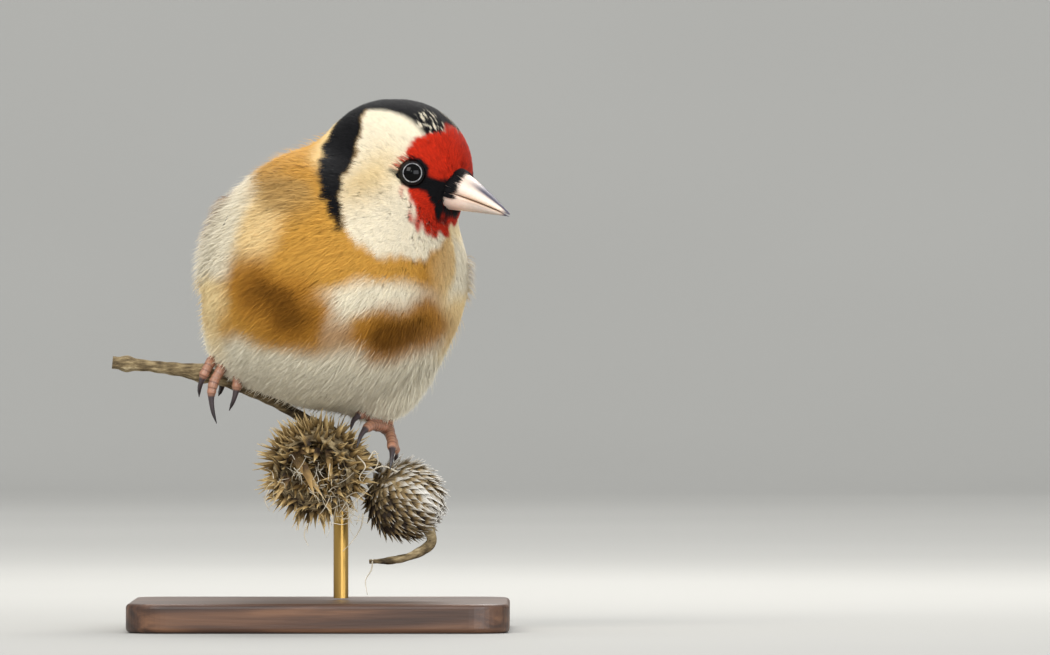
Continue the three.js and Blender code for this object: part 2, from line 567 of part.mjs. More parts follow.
// A three-sided spike, bent at its middle, wider than it is deep.
function spike(root, direction, outwards, length, half) {
  const across = V().crossVectors(direction, outwards).normalize();
  const up = V().crossVectors(across, direction).normalize();
  const ring = (centre, size) => [
    centre.clone().addScaledVector(across, size),
    centre.clone().addScaledVector(up, size * 0.75),
    centre.clone().addScaledVector(across, -size),
  ];
  const bend = root.clone().addScaledVector(direction, length * 0.55).addScaledVector(up, length * 0.06);
  const tip = root.clone().addScaledVector(direction, length).addScaledVector(up, length * 0.02);
  const points = [...ring(root, half), ...ring(bend, half * 0.72), tip];
  const geometry = new THREE.BufferGeometry().setFromPoints(points);
  geometry.setIndex([0, 1, 2, 0, 3, 4, 0, 4, 1, 1, 4, 5, 1, 5, 2, 2, 5, 3, 2, 3, 0, 3, 6, 4, 4, 6, 5, 5, 6, 3]);
  return facingOut(geometry);
}
// Spines or bracts all over a seed head, shortened where they would meet the bird's plumage.
function spikesOf(spec) {
  const { centre, radius, spikes } = spec;
  const axis = spec.axis.clone().normalize();
  const draw = drawsFrom(spikes.seed);
  return spread(spikes.count).flatMap((place) => {
    const lean = axis.dot(place);
    const direction = place.clone().multiplyScalar(spikes.radial).addScaledVector(axis, spikes.axial)
      .add(V(draw() - 0.5, draw() - 0.5, draw() - 0.5).multiplyScalar(spikes.stray)).normalize();
    const full = lerp(spikes.shortest, spikes.longest, draw());
    const root = centre.clone().addScaledVector(place, radius - spikes.sunk);
    if (lean > spikes.openFrom || lean < -0.93) return [];
    const clearLength = [1, 0.75, 0.5].map((share) => share * full).find((length) =>
      [0.4, 0.7, 1].every((t) => plumage(root.clone().addScaledVector(direction, t * length)) > GAP + 0.25));
    return clearLength ? [spike(root, direction, place, clearLength + spikes.sunk, spikes.half)] : [];
  });
}
// The two heads are kept apart by a plane between them.
const betweenHeads = HEAD_B.centre.clone().sub(HEAD_A.centre).normalize();
const midway = HEAD_A.centre.dot(betweenHeads) + 8.7;
function seedHead(spec, side) {
  const { centre, radius, bowl } = spec;
  const axis = spec.axis.clone().normalize();
  let body = core(spec, 0);
  if (bowl) {
    const hollow = centre.clone().addScaledVector(axis, bowl.away);
    body = body.subtract(solid(new THREE.IcosahedronGeometry(bowl.radius, 2)).translate([hollow.x, hollow.y, hollow.z]));
  }
  const curl = spec.curl ? [tube(spec.curl, [1.3, 0.9, 0.75, 0.5, 0.2], 6, 9)] : [];
  const plane = betweenHeads.clone().multiplyScalar(side);
  return fuse([body, ...spikesOf(spec), ...(spec.tuft ?? []).map((blade) => spike(...blade)), ...curl])
    .subtract(stem(GAP))
    .subtract(foot("left", GAP))
    .subtract(rod(GAP))
    .trimByPlane([plane.x, plane.y, plane.z], side * midway + GAP / 2);
}
function perchStem() {
  return stem(0);
}

// Stand: a flat base with rounded corners, and one rod up to the fork of the stem.
function base() {
  const { width, depth, corner, thick } = BASE;
  const [w, d] = [width / 2, depth / 2];
  const outline = new THREE.Shape()
    .moveTo(-w + corner, -d).lineTo(w - corner, -d)
    .absarc(w - corner, -d + corner, corner, -Math.PI / 2, 0)
    .lineTo(w, d - corner).absarc(w - corner, d - corner, corner, 0, Math.PI / 2)
    .lineTo(-w + corner, d).absarc(-w + corner, d - corner, corner, Math.PI / 2, Math.PI)
    .lineTo(-w, -d + corner).absarc(-w + corner, -d + corner, corner, Math.PI, 1.5 * Math.PI);
  const plate = new THREE.ExtrudeGeometry(outline, { depth: thick, bevelEnabled: false, curveSegments: 6 });
  return facingOut(indexed(plate));
}
function indexed(geometry) {
  const bare = geometry.clone();
  for (const name of Object.keys(bare.attributes)) if (name !== "position") bare.deleteAttribute(name);
  return mergeVertices(bare, 1e-4);
}
function rod(grow) {
  const { radius, x, y, top } = ROD;
  const height = top - BASE.thick - GAP;
  const shaft = new THREE.CylinderGeometry(radius + grow, radius + grow, height, 20).rotateX(Math.PI / 2);
  const standing = solid(shaft).translate([x, y, BASE.thick + GAP + height / 2]);
  return grow ? standing : standing.subtract(stem(GAP));
}

const model = new THREE.Group();
model.add(
  node("head", head(), materials.white),
  node("neck", neck(), materials.buff),
  node("torso", torso(), materials.buff),
  node("bill_upper", bill(0, true), materials.horn),
  node("bill_lower", bill(0, false), materials.horn),
  node("eye_left", eye(1, 0), materials.eye),
  node("eye_right", eye(-1, 0), materials.eye),
  node("wing_left", wing(1), materials.black),
  node("wing_right", wing(-1), materials.black),
  node("tail", tail(), materials.black),
  node("leg_left", leg("left", 0), materials.leg),
  node("leg_right", leg("right", 0), materials.leg),
  node("foot_left", foot("left", 0), materials.leg),
  node("foot_right", foot("right", 0), materials.leg),
  node("perch_stem", perchStem(), materials.straw),
  node("perch_head_a", seedHead(HEAD_A, -1), materials.straw),
  node("perch_head_b", seedHead(HEAD_B, 1), materials.straw),
  node("stand_rod", rod(0), materials.brass),
  node("stand_base", base(), materials.wood),
);
export default model;
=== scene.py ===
# %% [markdown]
# A European goldfinch, perched and fluffed up on a dry thistle stem, at life size.
# The solids give its outline; this script gives it skin, plumage, horn, scales and the dry plant.
# Everything is worked out in millimetres and turned to metres when a mesh is made.

import bmesh
import bpy
import numpy as np
from mathutils import Matrix, Vector


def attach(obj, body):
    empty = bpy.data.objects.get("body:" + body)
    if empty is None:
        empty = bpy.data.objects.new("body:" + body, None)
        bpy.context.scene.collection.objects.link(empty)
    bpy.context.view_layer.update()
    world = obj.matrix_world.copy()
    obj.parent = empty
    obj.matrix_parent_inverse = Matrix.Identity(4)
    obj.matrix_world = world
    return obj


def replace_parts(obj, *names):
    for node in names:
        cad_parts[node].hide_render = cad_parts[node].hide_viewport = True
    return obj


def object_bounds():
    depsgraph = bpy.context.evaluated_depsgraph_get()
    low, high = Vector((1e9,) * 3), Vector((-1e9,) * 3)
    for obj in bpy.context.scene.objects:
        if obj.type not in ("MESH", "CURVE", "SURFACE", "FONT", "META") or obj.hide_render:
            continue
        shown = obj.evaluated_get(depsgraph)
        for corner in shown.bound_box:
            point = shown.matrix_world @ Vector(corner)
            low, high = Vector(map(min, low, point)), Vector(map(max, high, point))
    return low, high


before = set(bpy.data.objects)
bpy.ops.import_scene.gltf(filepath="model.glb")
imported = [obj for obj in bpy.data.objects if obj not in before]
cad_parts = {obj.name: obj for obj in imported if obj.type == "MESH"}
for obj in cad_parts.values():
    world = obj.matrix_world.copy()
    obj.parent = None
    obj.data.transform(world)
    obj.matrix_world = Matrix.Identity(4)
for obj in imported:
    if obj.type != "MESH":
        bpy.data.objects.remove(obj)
cad_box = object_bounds()
MM = 0.001


def linked(name, data):
    """A new object for some data, linked to the scene."""
    made = bpy.data.objects.new(name, data)
    bpy.context.scene.collection.objects.link(made)
    return made


print("solids:", len(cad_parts), "box:", [[round(c, 4) for c in corner] for corner in cad_box])

# %% [markdown]
# The camera stands far off with a long lens, as a bird photographer does, so the bird shows no
# perspective of its own. Its place comes from the photo's scale: how many pixels a millimetre
# takes, where the stand's middle falls across the picture, and where its floor falls down it.

# %% Camera
PHOTO_WIDTH = 1050
PHOTO_HEIGHT = 655
PIXELS_PER_MM = 5.75
MIDDLE_PIXEL_X = 320
FLOOR_PIXEL_Y = 629
CAMERA_DISTANCE = 2500
SENSOR_WIDTH = 36


def from_photo(x, y):
    """Place across and up, in millimetres, of a pixel of the photo."""
    return (x - MIDDLE_PIXEL_X) / PIXELS_PER_MM, (FLOOR_PIXEL_Y - y) / PIXELS_PER_MM


def to_photo(points):
    """Pixels of the photo, across and down, where points are seen."""
    return points[..., 0] * PIXELS_PER_MM + MIDDLE_PIXEL_X, FLOOR_PIXEL_Y - points[..., 2] * PIXELS_PER_MM


camera_x, camera_z = from_photo(PHOTO_WIDTH / 2, PHOTO_HEIGHT / 2)
camera = linked("camera", bpy.data.cameras.new("camera"))
camera.location = (camera_x * MM, -CAMERA_DISTANCE * MM, camera_z * MM)
camera.rotation_euler = (np.pi / 2, 0, 0)
camera.data.sensor_width = SENSOR_WIDTH
camera.data.lens = SENSOR_WIDTH * CAMERA_DISTANCE / (PHOTO_WIDTH / PIXELS_PER_MM)
camera.data.clip_end = 20
bpy.context.scene.camera = camera
print("lens:", round(camera.data.lens), "mm")

# %% [markdown]
# The light is a bright overcast day: one broad soft window high on the left, a broader and softer
# fill from the right, a lamp behind to lift the edges of the down, one for the backdrop and a
# small one for the shine in the eye.

# %% Lights
LIGHTS = {
    "window": {"at": (-0.5, -0.85, 0.75), "size": 0.6, "watts": 10.4, "tint": (1.0, 0.97, 0.92)},
    "fill": {"at": (0.6, -0.9, 0.12), "size": 0.8, "watts": 11.5, "tint": (0.95, 0.97, 1.0)},
    "edge": {"at": (0.1, 0.4, 0.55), "size": 0.4, "watts": 4.0, "tint": (1.0, 0.98, 0.95)},
    "backdrop": {"at": (0, 0.9, 1.5), "size": 1.6, "watts": 34.0, "tint": (1.0, 0.99, 0.97)},
    "catch": {"at": (-0.12, -1.6, 0.55), "size": 0.14, "watts": 2.6, "tint": (1.0, 1.0, 1.0)},
}
AIM = {name: Vector((0.003, 0, 0.06)) for name in LIGHTS}
AIM["backdrop"] = Vector((0, 2.3, 0))
for light_name, light in LIGHTS.items():
    lamp = linked(light_name, bpy.data.lights.new(light_name, "AREA"))
    lamp.data.size = light["size"]
    lamp.data.energy = light["watts"]
    lamp.data.color = light["tint"]
    lamp.location = light["at"]
    towards = AIM[light_name] - Vector(light["at"])
    lamp.rotation_euler = towards.to_track_quat("-Z", "Y").to_euler()
world = bpy.data.worlds.new("overcast")
world.use_nodes = True
world.node_tree.nodes["Background"].inputs["Color"].default_value = (0.86, 0.9, 0.95, 1)
world.node_tree.nodes["Background"].inputs["Strength"].default_value = 0.74
bpy.context.scene.world = world
bpy.context.scene.view_settings.view_transform = "Standard"
print("lights:", ", ".join(LIGHTS))

# %% [markdown]
# Materials are built from nodes. One function adds a node with its settings and links, and one
# turns a hex colour as seen on screen into the linear light that a shader works with. The short
# functions after them add the nodes that most materials here share.

# %% Colour and node helpers


def linear(hex_colour):
    """Linear red, green, blue and alpha of an sRGB hex colour."""
    parts = [int(hex_colour[i : i + 2], 16) / 255 for i in (1, 3, 5)]
    return tuple(c / 12.92 if c <= 0.04045 else ((c + 0.055) / 1.055) ** 2.4 for c in parts) + (1.0,)


def palette(**hexes):
    """Linear red, green and blue of some named hex colours."""
    return {name: np.array(linear(value)[:3]) for name, value in hexes.items()}


def over(base, colour, share):
    """A colour laid over others, by a share for each point."""
    return base + (colour - base) * np.asarray(share)[..., None]


def add(tree, kind, inputs=None, **settings):
    """Adds a node: its settings, then each input's value or the output that feeds it."""
    made = tree.nodes.new(kind)
    for setting, value in settings.items():
        setattr(made, setting, value)
    for socket, value in (inputs or {}).items():
        if isinstance(value, bpy.types.NodeSocket):
            tree.links.new(value, made.inputs[socket])
        else:
            made.inputs[socket].default_value = value
    return made


def finish_material(name, describe):
    """A material whose shader is what describe adds to its empty tree."""
    made = bpy.data.materials.new(name)
    made.use_nodes = True
    tree = made.node_tree
    tree.nodes.clear()
    shader = describe(tree)
    add(tree, "ShaderNodeOutputMaterial", {"Surface": shader.outputs[0]})
    return made


def ramp(tree, factor, stops):
    """Colour along a factor, from a list of places and hex colours."""
    made = add(tree, "ShaderNodeValToRGB", {"Fac": factor})
    elements = made.color_ramp.elements
    while len(elements) < len(stops):
        elements.new(0.5)
    for element, (place, hex_colour) in zip(elements, stops):
        element.position = place
        element.color = linear(hex_colour)
    return made.outputs["Color"]


def painted(tree):
    """The colour given to each point of the mesh."""
    return add(tree, "ShaderNodeVertexColor", layer_name="Plumage").outputs["Color"]


def object_place(tree):
    """The place on the object, in metres."""
    return add(tree, "ShaderNodeTexCoord").outputs["Object"]


def stretched(tree, scale):
    """The place on the object, with each axis scaled."""
    return add(tree, "ShaderNodeMapping", {"Vector": object_place(tree), "Scale": scale}).outputs["Vector"]


def map_axes(tree, name):
    """Both numbers of a named map."""
    place = add(tree, "ShaderNodeUVMap", uv_map=name)
    split = add(tree, "ShaderNodeSeparateXYZ", {"Vector": place.outputs["UV"]})
    return split.outputs["X"], split.outputs["Y"]


def noise(tree, scale, detail=2.0, place=None, **more):
    """Noise with so many waves to the metre, over the object or over a given place."""
    values = {"Vector": object_place(tree) if place is None else place, "Scale": scale, "Detail": detail}
    return add(tree, "ShaderNodeTexNoise", {**values, **more}).outputs["Fac"]


def maths(tree, operation, *values):
    """One step of arithmetic."""
    return add(tree, "ShaderNodeMath", dict(enumerate(values)), operation=operation).outputs[0]


def spanned(tree, value, low, high, start=0.0, end=1.0):
    """A value that runs from start to end, made to run from low to high."""
    limits = {"From Min": start, "From Max": end, "To Min": low, "To Max": high}
    return add(tree, "ShaderNodeMapRange", {"Value": value, **limits}).outputs["Result"]


def shaded(tree, colour, factor):
    """A colour made darker or lighter by a factor."""
    values = {0: colour, "Scale": factor}
    return add(tree, "ShaderNodeVectorMath", values, operation="SCALE").outputs["Vector"]


def bumped(tree, height, strength, distance):
    """The normal of a surface with small heights, the greatest given in metres."""
    values = {"Height": height, "Strength": strength, "Distance": distance}
    return add(tree, "ShaderNodeBump", values).outputs["Normal"]


def surface(tree, colour, roughness, more):
    """The surface itself: its colour, its roughness and more of its inputs by name."""
    return add(tree, "ShaderNodeBsdfPrincipled", {"Base Color": colour, "Roughness": roughness, **more})


def mottled(scale, stops, roughness, more=None, bump=0.0):
    """Describes a surface of mottled colour, with the same mottling as a bump of some strength."""

    def describe(tree):
        spots = noise(tree, scale)
        values = dict(more or {})
        if bump:
            values["Normal"] = bumped(tree, spots, bump, 0.00005)
        return surface(tree, ramp(tree, spots, stops), roughness, values)

    return describe


print("linear mid grey:", round(linear("#808080")[0], 3))

# %% [markdown]
# The solids' plumage is one smooth form: ellipsoids in the torso's and the head's own frames,
# melted together. The same rule is written here for whole arrays of points at once, so that the
# skin and every feather know how deep they lie under the outline.

# %% The bird's form
TORSO_POSE = {"centre": (2, 0, 60.2), "yaw": 6, "pitch": 16, "roll": 12}
HEAD_POSE = {"centre": (15.7, -9, 79.1), "yaw": 58, "pitch": -13, "roll": 0}
TORSO_FORMS = [
    ((4, 0.4, 0), (25, 22.9, 22.8), 5),
    ((-14, 0, 0.5), (24, 17, 17), 6),
    ((-31, 0, 0.5), (11, 8, 6.5), 8),
    ((11, 4, 10), (11, 11.5, 11), 5),
    ((-3, 12.5, -13), (8, 6.5, 8.5), 6),
    ((-3, -12.5, -12), (8, 6, 7.5), 6),
]
HEAD_FORMS = [
    ((-1.5, 0, 1.5), (12, 10, 11), 3),
    ((3.0, 0, 0.2), (7.0, 6.2, 7.2), 4),
    ((-2.5, 0, -4), (10, 11, 8.5), 4),
    ((-7, 0, -0.5), (9.8, 9.5, 10.5), 4),
]


def pose_matrix(pose):
    """Turn of a part's frame, whose x points forward, y to the bird's left and z up."""
    facing = Matrix(((0, 1, 0), (-1, 0, 0), (0, 0, 1)))
    yaw = Matrix.Rotation(np.radians(pose["yaw"]), 3, "Z")
    pitch = Matrix.Rotation(np.radians(-pose["pitch"]), 3, "Y")
    roll = Matrix.Rotation(np.radians(-pose["roll"]), 3, "X")
    return np.array(yaw @ facing @ pitch @ roll)


TORSO_TURN = pose_matrix(TORSO_POSE)
HEAD_TURN = pose_matrix(HEAD_POSE)
TORSO_CENTRE = np.array(TORSO_POSE["centre"], float)
HEAD_CENTRE = np.array(HEAD_POSE["centre"], float)


def in_torso(points):
    return (points - TORSO_CENTRE) @ TORSO_TURN


def in_head(points):
    return (points - HEAD_CENTRE) @ HEAD_TURN


def from_torso(points):
    return np.asarray(points, float) @ TORSO_TURN.T + TORSO_CENTRE


def from_head(points):
    return np.asarray(points, float) @ HEAD_TURN.T + HEAD_CENTRE


def plumage(points):
    """Distance outside the smooth outline of the plumage, less than zero inside."""
    nearest = None
    for local, forms in ((in_torso(points), TORSO_FORMS), (in_head(points), HEAD_FORMS)):
        for centre, radii, blend in forms:
            scaled = (local - centre) / np.array(radii)
            size = np.linalg.norm(scaled, axis=-1)
            slope = np.linalg.norm(scaled / np.array(radii), axis=-1)
            distance = size * (size - 1) / np.maximum(slope, 1e-9)
            if nearest is None:
                nearest = distance
                continue
            near = np.maximum(blend - np.abs(nearest - distance), 0) / blend
            nearest = np.minimum(nearest, distance) - near * near * blend / 4
    return nearest


def unit(vectors):
    """Vectors brought to a length of one."""
    return vectors / np.maximum(np.linalg.norm(vectors, axis=-1, keepdims=True), 1e-9)


def outward(points):
    """Direction straight out of the plumage."""
    step = 0.05
    slopes = [plumage(points + step * axis) - plumage(points - step * axis) for axis in np.eye(3)]
    return unit(np.stack(slopes, axis=-1))


def settled(points, depth, rounds=5):
    """Points moved straight in or out until they lie at a depth under the outline."""
    for _ in range(rounds):
        points = points - (plumage(points) + depth)[..., None] * outward(points)
    return points


def smooth(low, high, values):
    """Soft step from 0 at low to 1 at high."""
    t = np.clip((values - low) / (high - low), 0, 1)
    return t * t * (3 - 2 * t)


print("crown above the head's centre:", round(-float(plumage(HEAD_CENTRE)), 1), "mm deep at the centre")

# %% [markdown]
# Markings are painted by rule, not by picture: each patch is a soft shape in the head's own frame
# or on the breast, and the skin and every feather ask the same function for their colour. The
# colours are those of a winter goldfinch: a red face, black lores and crescent, white cheeks, a
# tawny breast with two dark patches, and a brown back.

# %% Marking colours
COLOURS = palette(
    white="#E3D9C1",
    cheek="#CFB57E",
    red="#B4240A",
    black="#08080B",
    buff="#C4923E",
    pale_buff="#EBD29C",
    patch="#6A4108",
    patch_edge="#A66F22",
    belly="#E7DFC8",
    nape="#E6CB92",
    shoulder="#A5844F",
    back="#7F5C38",
    rump="#E6DCC6",
)


def wobble(points, scale, seed=0):
    """Cheap smooth noise from -1 to 1, for the ragged edge of a marking."""
    waves = np.random.default_rng(seed).normal(size=(7, 3)) / scale
    phases = np.arange(7) * 1.7 + seed
    return np.sin(points @ waves.T + phases).sum(axis=-1) / 3.2


def curve_at(places, values):
    """A boundary given by a few points, read at each value."""
    xs, ys = zip(*places)
    return np.interp(values, xs, ys)


def breast_blob(points, centre, size, tilt=0.0):
    """How far inside a tilted oval, given in the photo's pixels, a point on the breast is."""
    x0, z0 = from_photo(*centre)
    across = points[..., 0] - x0
    up = points[..., 2] - z0
    turn = np.radians(tilt)
    u = (across * np.cos(turn) + up * np.sin(turn)) * PIXELS_PER_MM / size[0]
    v = (up * np.cos(turn) - across * np.sin(turn)) * PIXELS_PER_MM / size[1]
    return 1 - smooth(0.45, 1.35, np.sqrt(u * u + v * v))


# %% [markdown]
# The head's markings are boundaries in the head's frame, so both sides match. Forward is x, the
# side is y and up is z, in millimetres from the head's centre.

# %% Head markings
BAR_FRONT = [(-8.7, 2.3), (-7.1, 1.6), (-3.5, -1.2), (-0.3, -3.3), (2.8, -4.2), (5.9, -5.6), (8.8, -7.2)]
BAR_REAR = [(-8.6, 1.3), (-6.6, -1.5), (-3.7, -4.9), (-0.7, -7.9), (2.6, -11.9), (6.1, -13.8)]
RED_BELOW = [(-9.0, 11.6), (-8.0, 10.6), (-6.0, 8.7), (-3.9, 7.1), (-1.6, 5.3), (1.2, 3.4)]
RED_ABOVE = [(1.8, 2.4), (3.2, 2.8), (4.2, 3.5), (7.3, 4.3), (8.2, 5.6), (8.9, 6.9), (10.0, 6.3), (11.0, 6.0)]
RED_REAR = RED_BELOW + RED_ABOVE
LORE_TOP = [(2, 1.4), (5, 2.2), (7.4, 1.6), (9.4, 1.0), (10.5, 1.5), (10.9, 3.3), (11.6, 4.4)]
LORE_BOTTOM = [(2, 1.4), (5, -0.6), (7.0, -1.3), (8.5, -1.7)]
LORE_BOTTOM += [(9.3, -3.7), (9.6, -5.1), (10.1, -6.2), (11, -6.4)]
THROAT_LOW = [(340, 222), (347, 228), (360, 245), (380, 255), (408, 261), (428, 259), (443, 246), (452, 226)]
BIB_REACH = 25
CAP_HALF_WIDTH = 5.9
EYE_CENTRE = np.array([5.1, 7.5, 1.1])


def head_colour(points, fallback):
    """Colour of the head, face and throat, over the body's colour given as a fallback."""
    ragged = wobble(points, 0.9, seed=3)[..., None] * 0.45
    x, y, z = np.moveaxis(in_head(points) + ragged * (0.6, 0, 0.6), -1, 0)
    y = np.abs(y)
    reach = np.sqrt(x * x + y * y + z * z)
    ahead_of_bar = x - curve_at(BAR_FRONT, z)
    behind_bar = curve_at(BAR_REAR, z) - x
    across, down = to_photo(points + ragged * (0, 0, 1))
    bib = smooth(1.2, -1.2, reach - BIB_REACH) * smooth(-0.5, 0.6, ahead_of_bar)
    bib = bib * smooth(5, -7, down - curve_at(THROAT_LOW, across))
    colour = over(fallback, COLOURS["white"], bib)
    tinge = 0.8 * np.exp(-((x - 0.5) ** 2 / 14 + (z + 0.6) ** 2 / 26)) * smooth(6, 10, y) * bib
    colour = over(colour, COLOURS["cheek"], tinge)
    nape = smooth(6.5, 0, behind_bar) * smooth(-0.8, 0.3, behind_bar)
    nape = nape * smooth(-6, 3, z) * smooth(20, 17, reach)
    colour = over(colour, COLOURS["nape"], nape)
    bar = smooth(0.5, -0.5, ahead_of_bar) * smooth(0.5, -0.5, behind_bar) * smooth(-10.6, -9, z)
    cap = smooth(0.6, -0.6, y - CAP_HALF_WIDTH) * smooth(4, 5, z) * smooth(0.5, -0.5, x - 6.8)
    cap = cap * smooth(-13, -12, x)
    dark = np.maximum(bar * smooth(25, 24, reach), cap)
    fleck = smooth(0.38, 0.6, wobble(points, 0.2, seed=9)) * smooth(1.2, 2.6, x) * smooth(1.0, 2.0, y)
    dark = dark * (1 - 0.8 * fleck * cap)
    colour = over(colour, COLOURS["black"], dark)
    red = smooth(-0.4, 0.4, x - curve_at(RED_REAR, z)) * smooth(-9.0, -8.3, z)
    colour = over(colour, COLOURS["red"], red)
    lore = smooth(0.5, -0.5, z - curve_at(LORE_TOP, x)) * smooth(-0.5, 0.5, z - curve_at(LORE_BOTTOM, x))
    lore = lore * smooth(2.0, 2.8, x)
    from_eye = np.linalg.norm(np.stack([x, y, z], axis=-1) - EYE_CENTRE, axis=-1)
    lore = np.maximum(lore, smooth(3.25, 2.85, from_eye))
    return over(colour, COLOURS["black"], lore)


# %% [markdown]
# The body's markings are read off the photo's front, with the back and the underside finished
# from the species: brown above, whitish on the rump and under the tail.

# %% Body markings
# The left fringe's edge: a pixel on it, and how far it moves left for each pixel down.
FRINGE_ACROSS = 264
FRINGE_DOWN = 182
FRINGE_SLOPE = 0.3


def fringe(points, reach):
    """Where pale feathers puff out at both sides, to a reach in the photo's pixels."""
    across, down = to_photo(points)
    past = across - FRINGE_ACROSS + FRINGE_SLOPE * (down - FRINGE_DOWN)
    near_side = smooth(reach, reach - 20, past) * smooth(292, 270, down) * smooth(168, 182, down)
    far_side = smooth(454 - reach, 460 - reach, across) * smooth(305, 285, down) * smooth(210, 250, down)
    return np.maximum(near_side, far_side)


def body_colour(points):
    """Colour of the breast, belly, flanks and back."""
    x, y, z = np.moveaxis(in_torso(points), -1, 0)
    shifted = points + wobble(points, 2.4, seed=5)[..., None] * (0.8, 0, 0.8)
    across, down = to_photo(shifted)
    front = smooth(-4, 6, x)
    colour = np.broadcast_to(COLOURS["belly"], points.shape)
    sag = 14 * np.cos((across - 330) / 60)
    colour = over(colour, COLOURS["buff"], smooth(348, 322, down - sag) * front)
    flank = np.maximum(smooth(238, 214, across), smooth(428, 452, across)) * smooth(385, 330, down)
    colour = over(colour, COLOURS["pale_buff"], flank * front)
    # A paler patch on the upper left of the breast, the side that the window lights: painted highlight.
    painted_highlight = 0.8 * breast_blob(shifted, (252, 228), (34, 42), -30)
    colour = over(colour, COLOURS["pale_buff"], painted_highlight * front)
    crescent = breast_blob(shifted, (384, 297), (62, 19), 0)
    colour = over(colour, COLOURS["belly"], 0.95 * crescent * front)
    parting = breast_blob(shifted, (341, 322), (17, 34), -12)
    colour = over(colour, COLOURS["belly"], 0.9 * parting * front)
    for name, grow, beside in (("patch_edge", 1.3, 0.4), ("patch", 0.72, 0.0)):
        left = breast_blob(shifted, (284, 303), (58 * grow, 27 * grow), -35)
        right = breast_blob(shifted, (400, 331), (46 * grow, 22 * grow), 12)
        side = breast_blob(shifted, (436, 285), (14 * grow, 44 * grow), -6)
        colour = over(colour, COLOURS[name], np.clip(left + right + beside * side, 0, 1) * front * 0.9)
    shoulder = 0.75 * breast_blob(shifted, (283, 192), (38, 24), -20)
    colour = over(colour, COLOURS["shoulder"], shoulder)
    colour = over(colour, COLOURS["white"], fringe(shifted, 4) * smooth(-6, 4, x))
    colour = over(colour, COLOURS["back"], smooth(-2, 7, z) * smooth(12, 2, x))
    return over(colour, COLOURS["rump"], smooth(-20, -27, x) * smooth(-4, 3, z))


def marking(points):
    """Colour of the plumage at points on the bird."""
    return head_colour(points, body_colour(points))


test_colour = marking(np.array([[15.0, -18.0, 62.0]]))
print("breast colour:", test_colour.round(2).tolist())

# %% [markdown]
# Meshes come from arrays of points and triangles. The helper below makes one, in metres, with its
# colours and its own map if it has them, and rides it on the bird.

# %% Mesh helper


def make_piece(name, points, faces, material, slot, colours=None, maps=None, normals=None):
    """A mesh piece from points in millimetres; faces are equal-length rows of point numbers."""
    points = np.asarray(points, float).reshape(-1, 3)
    faces = np.asarray(faces, int)
    mesh = bpy.data.meshes.new(name)
    mesh.vertices.add(len(points))
    mesh.vertices.foreach_set("co", (points * MM).astype(np.float32).ravel())
    corners = faces.shape[1]
    mesh.loops.add(faces.size)
    mesh.loops.foreach_set("vertex_index", faces.ravel().astype(np.int32))
    mesh.polygons.add(len(faces))
    mesh.polygons.foreach_set("loop_start", np.arange(0, faces.size, corners, dtype=np.int32))
    mesh.polygons.foreach_set("loop_total", np.full(len(faces), corners, dtype=np.int32))
    mesh.update(calc_edges=True)
    if colours is not None:
        layer = mesh.color_attributes.new("Plumage", "FLOAT_COLOR", "POINT")
        rgba = np.concatenate([colours, np.ones((len(points), 1))], axis=1)
        layer.data.foreach_set("color", rgba.astype(np.float32).ravel())
    for map_name, places in (maps or {}).items():
        uv_layer = mesh.uv_layers.new(name=map_name)
        uv_layer.data.foreach_set("uv", places[faces.ravel()].astype(np.float32).ravel())
    mesh.polygons.foreach_set("use_smooth", np.full(len(faces), True))
    if normals is not None:
        mesh.normals_split_custom_set_from_vertices(normals.astype(np.float32))
    mesh.materials.append(material)
    made = linked(name, mesh)
    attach(made, "root")
    return made


def grid_faces(rows, columns, start=0, close=False):
    """Quads of a grid of points; close joins the last column to the first."""
    across = columns if close else columns - 1
    i, j = np.meshgrid(np.arange(rows - 1), np.arange(across), indexing="ij")
    following = (j + 1) % columns
    quads = [i * columns + j, (i + 1) * columns + j, (i + 1) * columns + following, i * columns + following]
    return np.stack(quads, axis=-1).reshape(-1, 4) + start


def joined(parts):
    """One set of points and faces from several."""
    starts = np.cumsum([0] + [len(points) for points, _ in parts[:-1]])
    faces = [part_faces + start for (_, part_faces), start in zip(parts, starts)]
    return np.concatenate([points for points, _ in parts]), np.concatenate(faces)


print("helpers ready")

# %% [markdown]
# Down and contour feathers are soft keratin barbs, dull and a little translucent. The colour comes
# from the marking of each feather; a fine noise along the surface breaks it up, and a faint sheen
# stands for the light that the barbs scatter at the bird's edge.

# %% Plumage materials


def plumage_shader(tree):
    # The noise is about 1 mm across, the width of a tuft.
    shade = spanned(tree, noise(tree, 900.0, 3.0), 0.9, 1.08)
    more = {"Specular IOR Level": 0.12, "Sheen Weight": 0.04, "Sheen Roughness": 0.5}
    return surface(tree, shaded(tree, painted(tree), shade), 0.75, more)


# Contour feathers of keratin: matt, with a faint sheen.
FEATHER = finish_material("feather barbs", plumage_shader)
# Skin under the feathers carries the same colours, so no bare place shows.
SKIN = finish_material("feathered skin", plumage_shader)
print("materials:", FEATHER.name, SKIN.name)

# %% [markdown]
# The skin is made like a sculptor's armature: round forms, merged by a voxel remesh, then every
# point is settled at the coat's depth under the outline. The coat is thin on the face and deep
# on the fluffed breast.

# %% Skin
SKIN_VOXEL = 0.9
ARMATURE_RADIUS = 0.97
FACE_DEPTH = 0.75
BODY_DEPTH = 2.4
BILL_ROOT = from_head(np.array([[9.0, 0, -0.6]]))[0]


def coat_depth(points):
    """Depth of the coat: thin round the bill, deep on the body."""
    away = np.linalg.norm(points - BILL_ROOT, axis=-1)
    return FACE_DEPTH + (BODY_DEPTH - FACE_DEPTH) * smooth(7, 34, away)


